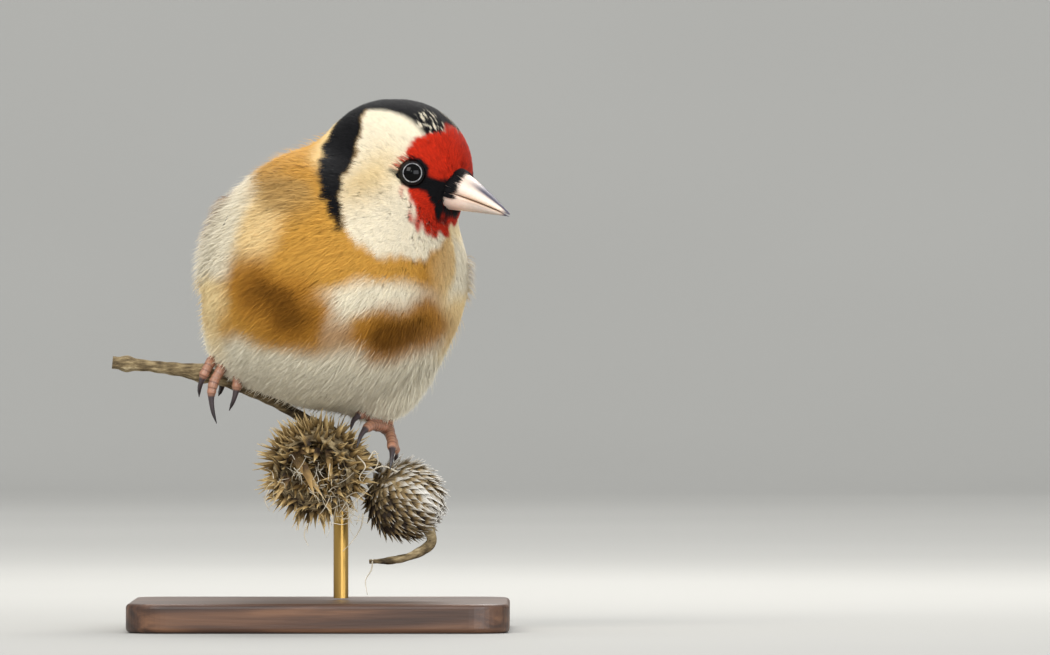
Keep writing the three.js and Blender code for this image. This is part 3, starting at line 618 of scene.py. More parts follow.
def build_skin():
    """Points and quads of the skin: the forms merged, then settled under the coat."""
    shape = bmesh.new()
    for turn, middle, forms in (
        (TORSO_TURN, TORSO_CENTRE, TORSO_FORMS),
        (HEAD_TURN, HEAD_CENTRE, HEAD_FORMS),
    ):
        part_pose = Matrix.Translation(Vector(middle)) @ Matrix(turn.tolist()).to_4x4()
        for centre, radii, _ in forms:
            pose = part_pose @ Matrix.Translation(centre) @ Matrix.Diagonal((*radii, 1))
            bmesh.ops.create_icosphere(shape, subdivisions=4, radius=ARMATURE_RADIUS, matrix=pose)
    mesh = bpy.data.meshes.new("forms")
    shape.to_mesh(mesh)
    shape.free()
    rough = linked("forms", mesh)
    remesh = rough.modifiers.new("merge", "REMESH")
    remesh.mode = "VOXEL"
    remesh.voxel_size = SKIN_VOXEL
    merged = bpy.data.meshes.new_from_object(rough.evaluated_get(bpy.context.evaluated_depsgraph_get()))
    bpy.data.objects.remove(rough)
    points = np.empty(len(merged.vertices) * 3)
    merged.vertices.foreach_get("co", points)
    points = points.reshape(-1, 3)
    points = settled(points, coat_depth(points), rounds=6)
    quads = np.empty(len(merged.loops), dtype=np.int32)
    merged.loops.foreach_get("vertex_index", quads)
    return points, quads.reshape(-1, 4)


skin_points, skin_quads = build_skin()
skin = make_piece("skin", skin_points, skin_quads, SKIN, "plumage_white", colours=marking(skin_points))
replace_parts(skin, "head", "neck", "torso")
print("skin:", len(skin_points), "points")

# %% [markdown]
# The coat needs a place on a map for every tuft, so the skin is unwrapped once by its own shape
# and each tuft takes the place where it is rooted.

# %% Unwrap the skin
bpy.context.view_layer.objects.active = skin
skin.select_set(True)
bpy.ops.object.mode_set(mode="EDIT")
bpy.ops.mesh.select_all(action="SELECT")
bpy.ops.uv.smart_project(angle_limit=1.15, island_margin=0.004)
bpy.ops.object.mode_set(mode="OBJECT")
skin.select_set(False)
skin_map = np.empty(len(skin.data.loops) * 2)
skin.data.uv_layers[0].data.foreach_get("uv", skin_map)
skin_map = skin_map.reshape(-1, 4, 2)
skin.data.uv_layers[0].name = "OFBake"
print("unwrapped faces:", len(skin_map))

# %% [markdown]
# The folded wing is a curved sheet against the body, the same as in the solids: a section that
# narrows from bend to tip. Feathers are laid on it by two numbers, along and across.

# %% The folded wing's sheet
WING_BEND_X = 12
WING_TIP_X = -62
WING_SECTION = {
    "across": [(0, 20), (0.2, 20.8), (0.4, 18.5), (0.55, 15), (0.7, 10.5), (0.85, 7), (1, 4.4)],
    "upwards": [(0, 17), (0.3, 17.5), (0.5, 13.5), (0.7, 8), (0.85, 5), (1, 3)],
    "middle": [(0, 0), (0.4, 1), (0.7, 3.6), (1, 6.4)],
    "upper_edge": [(0, 62), (0.15, 46), (0.35, 34), (0.6, 32), (0.8, 46), (1, 70)],
    "lower_edge": [(0, 86), (0.15, 94), (0.4, 104), (0.7, 104), (1, 92)],
    "sunk": [(0, -2.6), (0.35, -2.2), (0.6, -0.4), (0.75, 0.7), (1, 0.8)],
}


def section(name, along):
    """A value of the wing's section, eased between its few given places."""
    places, values = map(np.array, zip(*WING_SECTION[name]))
    i = np.clip(np.searchsorted(places, along, side="left"), 1, len(places) - 1)
    share = np.clip((along - places[i - 1]) / (places[i] - places[i - 1]), 0, 1)
    share = share * share * (3 - 2 * share)
    return values[i - 1] * (1 - share) + values[i] * share


def wing_point(side, along, across, height):
    """Points on the wing, from bend to tip, from lower to upper edge, at a height above the sheet."""
    turn = np.radians(section("lower_edge", along) * (1 - across) + section("upper_edge", along) * across)
    place = np.stack(
        [
            WING_BEND_X + (WING_TIP_X - WING_BEND_X) * along,
            side * section("across", along) * np.sin(turn),
            section("middle", along) + section("upwards", along) * np.cos(turn),
        ],
        axis=-1,
    )
    place = from_torso(place)
    for _ in range(6):
        short = np.maximum(section("sunk", along) - plumage(place), 0)
        place = place + short[..., None] * outward(place)
    out = np.stack([np.zeros_like(turn), side * np.sin(turn), np.cos(turn)], axis=-1) @ TORSO_TURN.T
    return place + out * np.asarray(height)[..., None]


def under_wing(points, margin):
    """How far points lie inside the wing's edges, in millimetres: above 0 is under the wing."""
    x, y, z = np.moveaxis(in_torso(points), -1, 0)
    along = (x - WING_BEND_X) / (WING_TIP_X - WING_BEND_X)
    out = np.abs(y) / section("across", along)
    up = (z - section("middle", along)) / section("upwards", along)
    turn = np.degrees(np.arctan2(out, up))
    size = np.radians(1) * section("across", along)
    inside = np.minimum(section("lower_edge", along) - turn, turn - section("upper_edge", along)) * size
    return np.minimum(inside, along * (WING_BEND_X - WING_TIP_X)) - margin


print("wing tip:", wing_point(1, np.array([1.0]), np.array([0.5]), np.array([0.0])).round(1).tolist())

# %% [markdown]
# The coat is made of tufts. Each tuft is a small feather seen from outside: a few barbs that
# spread from one root, lift off the skin and bow back to the outline. Their lie runs from the bill
# over the head and body. A barb is a tapered ribbon of three triangles, about a pixel wide.

# %% Where the tufts are rooted
TUFT_SEED = 41
EYE_RADIUS = 2.5
BARE_ROUND_EYE = 2.45
HEAD_TUFTS_PER_MM2 = 9.0
BODY_TUFTS_PER_MM2 = 4.2
BARBS = 10
WING_COVER_DEPTH = 0.9
WING_COVER_TO_X = -5
CROWN_TOP = cad_box[1][2] / MM - 0.05
draw = np.random.default_rng(TUFT_SEED)


def eye_clearance(points):
    """Distance from the nearer eye's middle."""
    local = in_head(points)
    local[..., 1] = np.abs(local[..., 1])
    return np.linalg.norm(local - EYE_CENTRE, axis=-1)


def in_bill(points):
    """True where a root would stand inside the bill."""
    x, y, z = np.moveaxis(in_head(points), -1, 0)
    return (x > 8.6) & ((y / 3.3) ** 2 + ((z + 0.6) / 3.6) ** 2 < 1)


def root_places():
    """Random roots on the skin and their places on its map, dense on the head."""
    corners = skin_points[skin_quads]
    triangles = np.concatenate([corners[:, (0, 1, 2)], corners[:, (0, 2, 3)]])
    maps = np.concatenate([skin_map[:, (0, 1, 2)], skin_map[:, (0, 2, 3)]])
    edge_a = triangles[:, 1] - triangles[:, 0]
    edge_b = triangles[:, 2] - triangles[:, 0]
    area = np.linalg.norm(np.cross(edge_a, edge_b), axis=1) / 2
    middle = triangles.mean(axis=1)
    away = np.linalg.norm(middle - BILL_ROOT, axis=1)
    density = HEAD_TUFTS_PER_MM2 + (BODY_TUFTS_PER_MM2 - HEAD_TUFTS_PER_MM2) * smooth(12, 30, away)
    wanted = area * density
    count = int(wanted.sum())
    chosen = draw.choice(len(triangles), size=count, p=wanted / wanted.sum())
    share = np.sqrt(draw.random(count))
    other = draw.random(count)
    weights = np.stack([1 - share, share * (1 - other), share * other], axis=1)
    roots = (triangles[chosen] * weights[..., None]).sum(axis=1)
    places = (maps[chosen] * weights[..., None]).sum(axis=1)
    covered = under_wing(roots, 1.6) > 0
    over_edge = covered & ((in_torso(roots)[:, 0] > WING_COVER_TO_X) | (under_wing(roots, 3.4) < 0))
    roots[over_edge] = settled(roots[over_edge], WING_COVER_DEPTH)
    keep = (~covered | over_edge) & (eye_clearance(roots) > BARE_ROUND_EYE) & ~in_bill(roots)
    return roots[keep], places[keep]


tuft_roots, tuft_places = root_places()
print("tufts:", len(tuft_roots))

# %% Lie and size of the tufts
# Each measure near the bill, how much more it is on the body, and between which distances from
# the bill it grows, in millimetres. The spread is in radians.
TUFT = {
    "length": (1.5, 2.8, 6, 34),
    "width": (0.1, 0.045, 8, 30),
    "spread": (0.16, 0.12, 8, 30),
    "proud": (0.05, 0.6, 14, 34),
}
STRAY_SHARE = 0.025
STRAY_HEIGHT = (0.5, 1.7)
# Where the coat is ruffled: more strays, and how much higher they stand.
RUFFLED_STRAYS = 0.12
RUFFLED_RISE = 0.6
# Scatter of lightness from tuft to tuft, from barb to barb and in the red of the face.
TUFT_SHADE = 0.04
BARB_SHADE = 0.05
RED_SHADE = 0.22
# How far a barb's own normal leans off the coat's.
NORMAL_LEAN = 0.12


def tuft_measure(name, away):
    """A measure of the tufts at distances from the bill."""
    near, more, start, end = TUFT[name]
    return near + more * smooth(start, end, away)


def tuft_shape(roots):
    """Lie, outward direction, length, barb width, spread and rise of each tuft."""
    out = outward(roots)
    flow = roots - BILL_ROOT
    away = np.linalg.norm(flow, axis=1)
    flow = flow / away[:, None]
    tailwards = -TORSO_TURN[:, 0]
    flow = flow + tailwards * smooth(30, 60, away)[:, None] * 0.8
    flow = flow + draw.normal(size=flow.shape) * 0.06
    lie = unit(flow - (flow * out).sum(axis=1, keepdims=True) * out)
    length = tuft_measure("length", away) * draw.uniform(0.8, 1.2, len(roots))
    proud = tuft_measure("proud", away) + 0.3 * fringe(roots, -2)
    return lie, out, length, tuft_measure("width", away), tuft_measure("spread", away), proud


def ribbons(base, middle, tip, sideways, colours, normals, places):
    """Points, triangles, colours, map and normals of tapered ribbons, one a row."""
    root = sideways * 0.8
    points = np.stack([base - root, base + root, middle - sideways, middle + sideways, tip], axis=1)
    # Each barb is darker at its root and lighter at its tip: partly the feather's own greyer base and paler
    # tip, partly painted shade where the barbs lie under one another.
    along = np.array([0.86, 0.86, 0.98, 0.98, 1.05])[None, :, None]
    patch = np.array([[-1, -1], [1, -1], [-1, 0], [1, 0], [0, 1]]) * 0.0015
    faces = np.array([[1, 0, 3], [3, 0, 2], [3, 2, 4]])[None] + np.arange(len(base))[:, None, None] * 5
    return {
        "points": points.reshape(-1, 3),
        "faces": faces.reshape(-1, 3),
        "colours": np.clip(colours[:, None] * along, 0, 0.95).reshape(-1, 3),
        "maps": {"OFBake": (places[:, None] + patch[None]).reshape(-1, 2)},
        "normals": np.repeat(normals, 5, axis=0),
    }


def barb_heights(roots, proud):
    """Heights of barb tips: from just under the outline to a little proud of it, with a few strays."""
    depth = np.repeat(np.maximum(-plumage(roots), 0.2), BARBS)
    proud = np.repeat(proud, BARBS)
    height = draw.uniform(-0.4, 1.0, len(proud))
    height = np.where(height < 0, height * 0.7 * depth, height * proud)
    ruffled = np.repeat(fringe(roots, -2) * smooth(40, 0, roots[:, 0]), BARBS)
    stray = (draw.random(len(proud)) < STRAY_SHARE + RUFFLED_STRAYS * ruffled) & (proud > 0.3)
    stray_height = draw.uniform(*STRAY_HEIGHT, len(proud)) * (1 + RUFFLED_RISE * ruffled)
    return np.where(stray, stray_height, height)


def build_tufts(roots, places):
    """The barbs of tufts on some roots, as ribbons."""
    lie, out, length, width, spread, proud = tuft_shape(roots)
    count = len(roots)
    aside = np.cross(out, lie)
    turn = (np.arange(BARBS) - (BARBS - 1) / 2) / BARBS * 2
    turn = turn[None] * spread[:, None] + draw.normal(size=(count, BARBS)) * 0.06
    heading = lie[:, None] * np.cos(turn)[..., None] + aside[:, None] * np.sin(turn)[..., None]
    reach = length[:, None] * draw.uniform(0.75, 1.1, (count, BARBS))
    root_shift = draw.normal(size=(count, BARBS, 2)) * (0.35 * width[:, None, None] + 0.14)
    base = roots[:, None] + aside[:, None] * root_shift[..., :1] + lie[:, None] * root_shift[..., 1:]
    tip = (base + heading * reach[..., None]).reshape(-1, 3)
    tip = settled(tip, -barb_heights(roots, proud), rounds=2)
    tip[:, 2] = np.minimum(tip[:, 2], CROWN_TOP)
    base = base.reshape(-1, 3)
    heading = heading.reshape(-1, 3)
    out = np.repeat(out, BARBS, axis=0)
    bow = (tip - base) - heading * ((tip - base) * heading).sum(axis=1, keepdims=True)
    middle = (base + tip) / 2 + bow * 0.25
    sideways = np.cross(out, heading) * np.repeat(width, BARBS)[:, None] / 2
    colours = marking(settled(base * 0.35 + tip * 0.65, 0.0, rounds=1))
    shade = np.repeat(draw.normal(1.0, TUFT_SHADE, count), BARBS)
    shade = shade * draw.normal(1.0, BARB_SHADE, len(tip))
    reds = colours[:, :1] > 8 * colours[:, 1:2] + 0.05
    shade = shade * np.where(reds[:, 0], draw.normal(1.0, RED_SHADE, len(tip)), 1.0)
    normals = unit(out + draw.normal(size=(len(tip), 1)) * NORMAL_LEAN * np.cross(out, heading))
    places = np.repeat(places, BARBS, axis=0)
    return ribbons(base, middle, tip, sideways, colours * shade[:, None], normals, places)


TRIANGLES_A_PIECE = 190000
tufts_a_piece = TRIANGLES_A_PIECE // (3 * BARBS)
order = np.argsort(np.linalg.norm(tuft_roots - BILL_ROOT, axis=1))
for number, start in enumerate(range(0, len(order), tufts_a_piece)):
    chosen = order[start : start + tufts_a_piece]
    slot = "plumage_buff" if number else "plumage_white"
    tufts = build_tufts(tuft_roots[chosen], tuft_places[chosen])
    coat = make_piece(f"coat_{number + 1}", material=FEATHER, slot=slot, **tufts)
    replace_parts(coat, "torso")
    print(coat.name, "triangles:", len(tufts["faces"]))

# %% [markdown]
# Stiff black bristles grow forward over the root of the upper bill and hide where horn meets
# feather. They are rooted round the bill's base and lie along it.

# %% Bristles at the bill
BRISTLES = 1500
bristle_turn = draw.uniform(-0.15, np.pi + 0.15, BRISTLES)
bristle_x = draw.uniform(7.8, 10.0, BRISTLES)
bristle_reach = draw.uniform(1.6, 2.6, BRISTLES)


def on_bill(x, turn, lift):
    """A point over the upper bill's root, from one side over the ridge to the other."""
    past_root = np.maximum(x - 8.5, 0)
    half_width = 3.5 * (1 - past_root * 0.07) + lift
    rise = 4.3 * (1 - past_root * 0.048) + lift
    sine = np.sin(turn)
    z = -0.9 - past_root * 0.08 + rise * np.sign(sine) * np.abs(sine) ** 0.85
    return from_head(np.stack([x, half_width * np.cos(turn), z], axis=1))


bristle_base = on_bill(bristle_x, bristle_turn, -0.2)
bristle_tip = on_bill(bristle_x + bristle_reach, bristle_turn, 0.2)
bristle_middle = on_bill(bristle_x + bristle_reach / 2, bristle_turn, 0.35)
bristle_out = on_bill(bristle_x, bristle_turn, 1.0) - on_bill(bristle_x, bristle_turn, 0.0)
bristle_side = np.cross(bristle_out, bristle_tip - bristle_base)
bristle_side *= 0.06 / np.linalg.norm(bristle_side, axis=1, keepdims=True)
quad_middles = skin_points[skin_quads].mean(axis=1)
near_bill = np.linalg.norm(quad_middles - BILL_ROOT, axis=1) < 9
near_middles = quad_middles[near_bill]
near_maps = skin_map[near_bill].mean(axis=1)
nearest = np.linalg.norm(bristle_base[:, None] - near_middles[None], axis=2).argmin(axis=1)
bristle_colour = np.tile(COLOURS["black"], (BRISTLES, 1)) * draw.uniform(0.8, 1.6, (BRISTLES, 1))
bristles = ribbons(
    bristle_base, bristle_middle, bristle_tip, bristle_side, bristle_colour, bristle_out, near_maps[nearest]
)
bristle_piece = make_piece("bill_bristles", material=FEATHER, slot="plumage_white", **bristles)
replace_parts(bristle_piece, "head")
print("bristles:", BRISTLES)

# %% [markdown]
# Flight feathers are stiff vanes: a shaft, and barbs zipped together at a slant. Each is a thin
# closed sheet, bowed across, laid on the wing's sheet with its lower edge over its neighbour.

# %% Vane material


def vane_shader(tree):
    along, across = map_axes(tree, "Vane")
    away = maths(tree, "ABSOLUTE", maths(tree, "SUBTRACT", across, 0.5))
    slanted = maths(tree, "MULTIPLY_ADD", away, -0.22, along)
    # Barbs stand about 0.25 mm apart on a vane some 30 mm long.
    wave = maths(tree, "SINE", maths(tree, "MULTIPLY", slanted, 120.0 * 6.283))
    shaft = spanned(tree, away, 1.0, 0.0, 0.012, 0.03)
    normal = bumped(tree, maths(tree, "MULTIPLY_ADD", shaft, 3.0, wave), 0.35, 0.00006)
    more = {"Normal": normal, "Specular IOR Level": 0.4, "Sheen Weight": 0.1}
    return surface(tree, painted(tree), 0.42, more)


# Zipped keratin vanes: satin, with fine slanting barbs and a raised shaft.
VANE = finish_material("zipped vanes", vane_shader)
WING_COLOURS = palette(black="#131218", brown="#2A211C", yellow="#F2C414", white="#F5F1E8")
print("material:", VANE.name)

# %% Vane builder
VANE_ROWS = 15
VANE_COLUMNS = 7
VANE_THICKNESS = 0.14


def vane_outline(along, tip_length):
    """Half width along a vane as a share of the widest, round at the tip."""
    root = 0.45 + 0.55 * smooth(0, 0.35, along)
    tip = np.sqrt(np.clip(1 - np.clip((along - 1 + tip_length) / tip_length, 0, 1) ** 2, 0, 1))
    return root * tip


def closed_vane(middle, across, up, half, bow):
    """Points, quads and map of one closed vane from its middle line, directions and half widths."""
    share = np.linspace(-1, 1, VANE_COLUMNS)
    offset = across[:, None] * (half[:, None] * share[None])[..., None]
    rise = bow * (1 - share[None, :, None] ** 2) * up[:, None]
    top = middle[:, None] + offset + rise
    bottom = top - up[:, None] * VANE_THICKNESS
    points = np.concatenate([top.reshape(-1, 3), bottom.reshape(-1, 3)])
    face = VANE_ROWS * VANE_COLUMNS
    upper = grid_faces(VANE_ROWS, VANE_COLUMNS)
    lower = grid_faces(VANE_ROWS, VANE_COLUMNS, face)[:, ::-1]
    rim = list(range(0, VANE_COLUMNS))
    rim += [i * VANE_COLUMNS + VANE_COLUMNS - 1 for i in range(1, VANE_ROWS)]
    rim += [(VANE_ROWS - 1) * VANE_COLUMNS + j for j in range(VANE_COLUMNS - 2, -1, -1)]
    rim += [i * VANE_COLUMNS for i in range(VANE_ROWS - 2, 0, -1)]
    rim = np.array(rim)
    following = np.roll(rim, -1)
    edge = np.stack([rim, following, following + face, rim + face], axis=1)
    along, side = np.meshgrid(np.linspace(0, 1, VANE_ROWS), (share + 1) / 2, indexing="ij")
    places = np.stack([along.ravel(), side.ravel()], axis=1)
    return points, np.concatenate([upper, lower, edge]), np.concatenate([places, places])


def make_vanes(name, vanes):
    """One piece from many vanes, each given as points, quads, map and colours."""
    points, faces, places, colours = zip(*vanes)
    all_points, all_faces = joined(list(zip(points, faces)))
    made = make_piece(
        name,
        all_points,
        all_faces,
        VANE,
        "flight_feathers",
        colours=np.concatenate(colours),
        maps={"Vane": np.concatenate(places)},
    )
    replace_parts(made, name.replace("feathers_", ""))
    print(made.name, "points:", len(all_points))


print("points in a vane:", 2 * VANE_ROWS * VANE_COLUMNS)

# %% [markdown]
# The wing's feathers lie in rows, as on the real wing: nine primaries, then secondaries, tertials,
# primary coverts, greater, median and lesser coverts. The greater coverts and the bases of the
# flight feathers make the yellow band; tertials, secondaries and primaries end in white.

# %% Wing feathers
# Each row: its name, how many feathers, where the first and last are rooted and end on the wing's
# sheet, half their width, and their height at root and tip.
WING_ROWS = [
    ("primary", 9, [(0.27, 0.08), (0.34, 0.5)], [(0.995, 0.42), (0.7, 0.86)], 1.8, (0.9, 0.6)),
    ("secondary", 7, [(0.2, 0.2), (0.22, 0.72)], [(0.6, 0.34), (0.63, 0.82)], 1.9, (1.2, 1.1)),
    ("tertial", 3, [(0.18, 0.68), (0.15, 0.82)], [(0.66, 0.8), (0.52, 0.86)], 2.2, (1.3, 1.6)),
    ("primary covert", 5, [(0.13, 0.05), (0.16, 0.26)], [(0.42, 0.1), (0.38, 0.3)], 1.4, (1.35, 1.4)),
    ("greater covert", 9, [(0.1, 0.2), (0.08, 0.9)], [(0.33, 0.24), (0.31, 0.9)], 1.7, (1.0, 1.5)),
    ("median covert", 8, [(0.04, 0.2), (0.03, 0.9)], [(0.21, 0.22), (0.19, 0.9)], 1.7, (0.9, 1.4)),
    ("lesser covert", 8, [(-0.02, 0.24), (-0.02, 0.88)], [(0.12, 0.24), (0.1, 0.88)], 1.7, (0.7, 1.2)),
]


def wing_colours(row, places):
    """Colour down each kind of wing feather."""
    along, across = places[:, 0], places[:, 1]
    black, white, yellow = (WING_COLOURS[name] for name in ("black", "white", "yellow"))
    colour = np.broadcast_to(black, (len(along), 3))
    if row == "primary":
        colour = over(colour, yellow, smooth(0.42, 0.4, along) * smooth(0.5, 0.42, across))
        return over(colour, white, smooth(0.965, 0.975, along) * smooth(0.75, 0.7, across))
    if row == "secondary":
        colour = over(colour, yellow, smooth(0.62, 0.58, along))
        return over(colour, white, smooth(0.9, 0.93, along))
    if row == "tertial":
        return over(colour, white, smooth(0.84, 0.9, along))
    if row == "greater covert":
        return over(colour, yellow, smooth(0.5, 0.6, along))
    if row in ("median covert", "lesser covert"):
        return over(colour, WING_COLOURS["brown"], 0.5 * smooth(0.6, 0.9, along))
    return colour


def build_wing(name, side):
    """All the feathers of one folded wing, row by row."""
    vanes = []
    along = np.linspace(0, 1, VANE_ROWS)
    for row, count, roots, tips, half_width, rise in WING_ROWS:
        for i in range(count):
            t = i / (count - 1)
            root = np.array(roots[0]) * (1 - t) + np.array(roots[1]) * t
            tip = np.array(tips[0]) * (1 - t) + np.array(tips[1]) * t
            u = root[0] + (tip[0] - root[0]) * along
            v = root[1] + (tip[1] - root[1]) * along**0.8
            height = rise[0] + (rise[1] - rise[0]) * along + 0.08 * i / count
            lower = wing_point(side, u, v - 0.05, height)
            upper = wing_point(side, u, v + 0.05, height)
            middle = wing_point(side, u, v, height)
            across = unit(lower - upper)
            up = np.cross(across, unit(np.gradient(middle, axis=0))) * side
            across = across + up * 0.14
            half = half_width * vane_outline(along, 0.16 if row in ("primary", "secondary") else 0.3)
            points, faces, places = closed_vane(middle, across, up, half + 0.03, 0.22)
            faces = faces if side > 0 else faces[:, ::-1]
            vanes.append((points, faces, places, wing_colours(row, places)))
    make_vanes(name, vanes)


build_wing("feathers_wing_left", 1)
build_wing("feathers_wing_right", -1)

# %% [markdown]
# The tail is twelve feathers in pairs, stacked with the middle pair on top, a little longer
# towards the outside so that it is forked. They are black with white tips and white windows.

# %% Tail feathers
TAIL = {"root": (-33, 0, 0.6), "centre": 46.5, "outer": 49, "raise": 7, "turn": 3, "half": 3.0}
TAIL_STEP = {"pairs": 6, "down": 0.4, "root_out": 0.28, "tip_out": 0.72}


def from_tail(points):
    """Points of the tail's own frame, which runs from its root to its tip."""
    raised = Matrix.Rotation(np.radians(-TAIL["raise"]), 3, "Y")
    turned = Matrix.Rotation(np.radians(180 + TAIL["turn"]), 3, "Z")
    turn = np.array(turned @ raised)
    return from_torso(points @ turn.T + np.array(TAIL["root"]))


def build_tail():
    """Twelve tail feathers, stacked in pairs."""
    vanes = []
    along = np.linspace(0, 1, VANE_ROWS)
    for pair in range(TAIL_STEP["pairs"]):
        for side in (1, -1):
            share = pair / (TAIL_STEP["pairs"] - 1)
            length = TAIL["centre"] + (TAIL["outer"] - TAIL["centre"]) * share
            level = 1.25 - TAIL_STEP["down"] * (pair + (0.5 if side < 0 else 0)) - 0.36 * along**2
            out = TAIL_STEP["root_out"] + (TAIL_STEP["tip_out"] - TAIL_STEP["root_out"]) * along
            local = np.stack([length * along, side * (0.7 + out * pair), level], axis=1)
            middle = from_tail(local)
            ahead = from_tail(local + (0, 1, 0)) - middle
            up = from_tail(local + (0, 0, 1)) - middle
            half = TAIL["half"] * vane_outline(along, 0.1) + 0.03
            points, faces, places = closed_vane(middle, ahead, up, half, 0.3)
            colour = np.broadcast_to(WING_COLOURS["black"], (len(places), 3))
            tip = smooth(0.955, 0.975, places[:, 0])
            window = smooth(0.62, 0.68, places[:, 0]) * smooth(0.9, 0.86, places[:, 0]) * (pair >= 4)
            inner = smooth(0.6, 0.5, places[:, 1]) if side > 0 else smooth(0.4, 0.5, places[:, 1])
            colour = over(colour, WING_COLOURS["white"], np.maximum(tip, window * inner))
            vanes.append((points, faces[:, ::-1], places, colour))
    make_vanes("feathers_tail", vanes)


build_tail()

# %% [markdown]
# The bill is horn over bone: ivory and pink at the root, dusky blue-black along the ridge and at
# the tip. Each half is lofted from the same rule as the solid, with many more stations.

# %% Bill
BILL = {"root": 8.5, "tip": 21.5, "half": 3.5, "top": 3.3, "bottom": -4.4}
BILL.update({"gape": -0.9, "tip_z": -2.6, "gap": 0.3})
BILL_COLOURS = palette(ivory="#DCCCBD", pink="#D8C0B0", edge="#C79A6C", dusk="#3A3647")
BILL_STATIONS = 48
BILL_SIDES = 25


def horn_shader(tree):
    # Growth lines and small wear marks, about 0.6 mm apart.
    wear = noise(tree, 1600.0, 4.0)
    colour = shaded(tree, painted(tree), spanned(tree, wear, 0.86, 1.1))
    more = {"IOR": 1.5, "Normal": bumped(tree, wear, 0.2, 0.00008)}
    more.update({"Subsurface Weight": 0.05, "Subsurface Scale": 0.001})
    more.update({"Coat Weight": 0.15, "Coat Roughness": 0.3})
    return surface(tree, colour, 0.42, more)


# Horn of the bill: keratin over bone, dense and smooth, a little light passes into it.
HORN = finish_material("bill horn", horn_shader)


def bill_colour(t, turn, upper):
    """Colour of a half of the bill, along it and round from one edge over the ridge to the other."""
    ridge = np.sin(turn) ** 2
    dusk = smooth(0.25, 0.6, t) * (0.05 + 0.95 * smooth(0.3, 0.65, ridge) if upper else 0.3)
    dusk = np.clip(dusk + smooth(0.86, 0.98, t), 0, 1)
    rim = smooth(0.25, 0.0, np.sin(turn)) * 0.55 * smooth(0.1, 0.5, t)
    colour = over(BILL_COLOURS["ivory"], BILL_COLOURS["pink"], smooth(0.7, 0, t))
    colour = over(colour, BILL_COLOURS["edge"], rim)
    return over(colour, BILL_COLOURS["dusk"], dusk)


def close_ends(made):
    """Fills a mesh's open ends and turns its faces outwards."""
    shape = bmesh.new()
    shape.from_mesh(made.data)
    bmesh.ops.holes_fill(shape, edges=[e for e in shape.edges if e.is_boundary], sides=0)
    bmesh.ops.recalc_face_normals(shape, faces=shape.faces)
    shape.to_mesh(made.data)
    shape.free()


def bill_half(upper):
    """One half of the bill: rings from root to tip, closed by a floor along its edge."""
    side = 1 if upper else -1
    length = BILL["tip"] - BILL["root"]
    x = BILL["root"] - 0.8 + (length + 0.8) * np.linspace(0, 1, BILL_STATIONS) ** 0.9
    t = np.clip((x - BILL["root"]) / length, 0, 1)
    gape = BILL["gape"] + (BILL["tip_z"] - BILL["gape"]) * t + 0.25 * np.sin(np.pi * t)
    width = BILL["half"] * (1 - t) ** 0.86 * (1 if upper else 0.93) + 0.1 * (1 - t**6)
    if upper:
        reach = BILL["top"] + (BILL["tip_z"] + 0.35 - BILL["top"]) * t**1.36 - gape
    else:
        reach = gape - (BILL["bottom"] + (BILL["tip_z"] - 0.15 - BILL["bottom"]) * t**0.95)
    reach = np.maximum(reach - BILL["gap"] / 2, 0.05)
    turn = np.linspace(0, np.pi, BILL_SIDES)
    y = width[:, None] * np.cos(turn)[None]
    edge = gape + side * BILL["gap"] / 2
    z = edge[:, None] + side * reach[:, None] * np.sin(turn)[None] ** 0.85
    points = np.stack([np.broadcast_to(x[:, None], y.shape), y, z], axis=-1)
    colour = bill_colour(t[:, None], turn[None], upper)
    rows = np.arange(BILL_STATIONS) * BILL_SIDES
    across = BILL_SIDES - 1
    floor = np.stack([rows[1:], rows[:-1], rows[:-1] + across, rows[1:] + across], axis=1)
    faces = np.concatenate([grid_faces(BILL_STATIONS, BILL_SIDES), floor])
    if upper:
        faces = faces[:, ::-1]
    name = "bill_horn_upper" if upper else "bill_horn_lower"
    placed = from_head(points.reshape(-1, 3))
    made = make_piece(name, placed, faces, HORN, "bill_horn", colours=colour.reshape(-1, 3))
    close_ends(made)
    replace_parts(made, "bill_upper" if upper else "bill_lower")
    print(made.name, "length:", round(float(np.ptp(x)), 1), "mm")


bill_half(True)
bill_half(False)

# %% [markdown]
# A finch's eye is nearly black. It shines because the cornea is wet and hard, so the ball is a
# very smooth dark sphere, inside a ring of small grey lid scales and a band of bare black skin.

# %% Eyes
LID_ANGLE = 38
LID_RING_RADIUS = 1.6
LID_SCALES = 34
LID_SCALE_RADIUS = 0.12
LID_RIM_RADIUS = 0.07
BAND_ANGLES = [LID_ANGLE - 2, LID_ANGLE, LID_ANGLE + 5, 49, 56, 63]
BAND_HEIGHTS = [0.01, 0.1, 0.12, 0.08, 0.03, -0.05]
BAND_SIDES = 48
# Wet cornea over a dark brown iris.
EYE = finish_material(
    "wet eye",
    mottled(700.0, [(0.3, "#020202"), (0.75, "#0A0504")], 0.05, {"IOR": 1.38, "Specular IOR Level": 0.2}),
)
# Bare grey skin of the lid's rim.
LID = finish_material("lid rim", mottled(2500.0, [(0.3, "#55555A"), (0.7, "#9A9A98")], 0.4, bump=0.4))
# Bare black skin between the lid's rim and the feathers.
DARK_SKIN = finish_material(
    "bare skin",
    mottled(2500.0, [(0.35, "#030304"), (0.7, "#0B0B0D")], 0.6, {"Specular IOR Level": 0.2}, 0.3),
)


def node_group(name, inputs):
    """A geometry node tree with named inputs of some kinds and values, and its inputs' outputs."""
    tree = bpy.data.node_groups.new(name, "GeometryNodeTree")
    for socket_name, (kind, value) in inputs.items():
        socket = tree.interface.new_socket(socket_name, in_out="INPUT", socket_type=f"NodeSocket{kind}")
        if value is not None:
            socket.default_value = value
    tree.interface.new_socket("Geometry", in_out="OUTPUT", socket_type="NodeSocketGeometry")
    return tree, add(tree, "NodeGroupInput").outputs


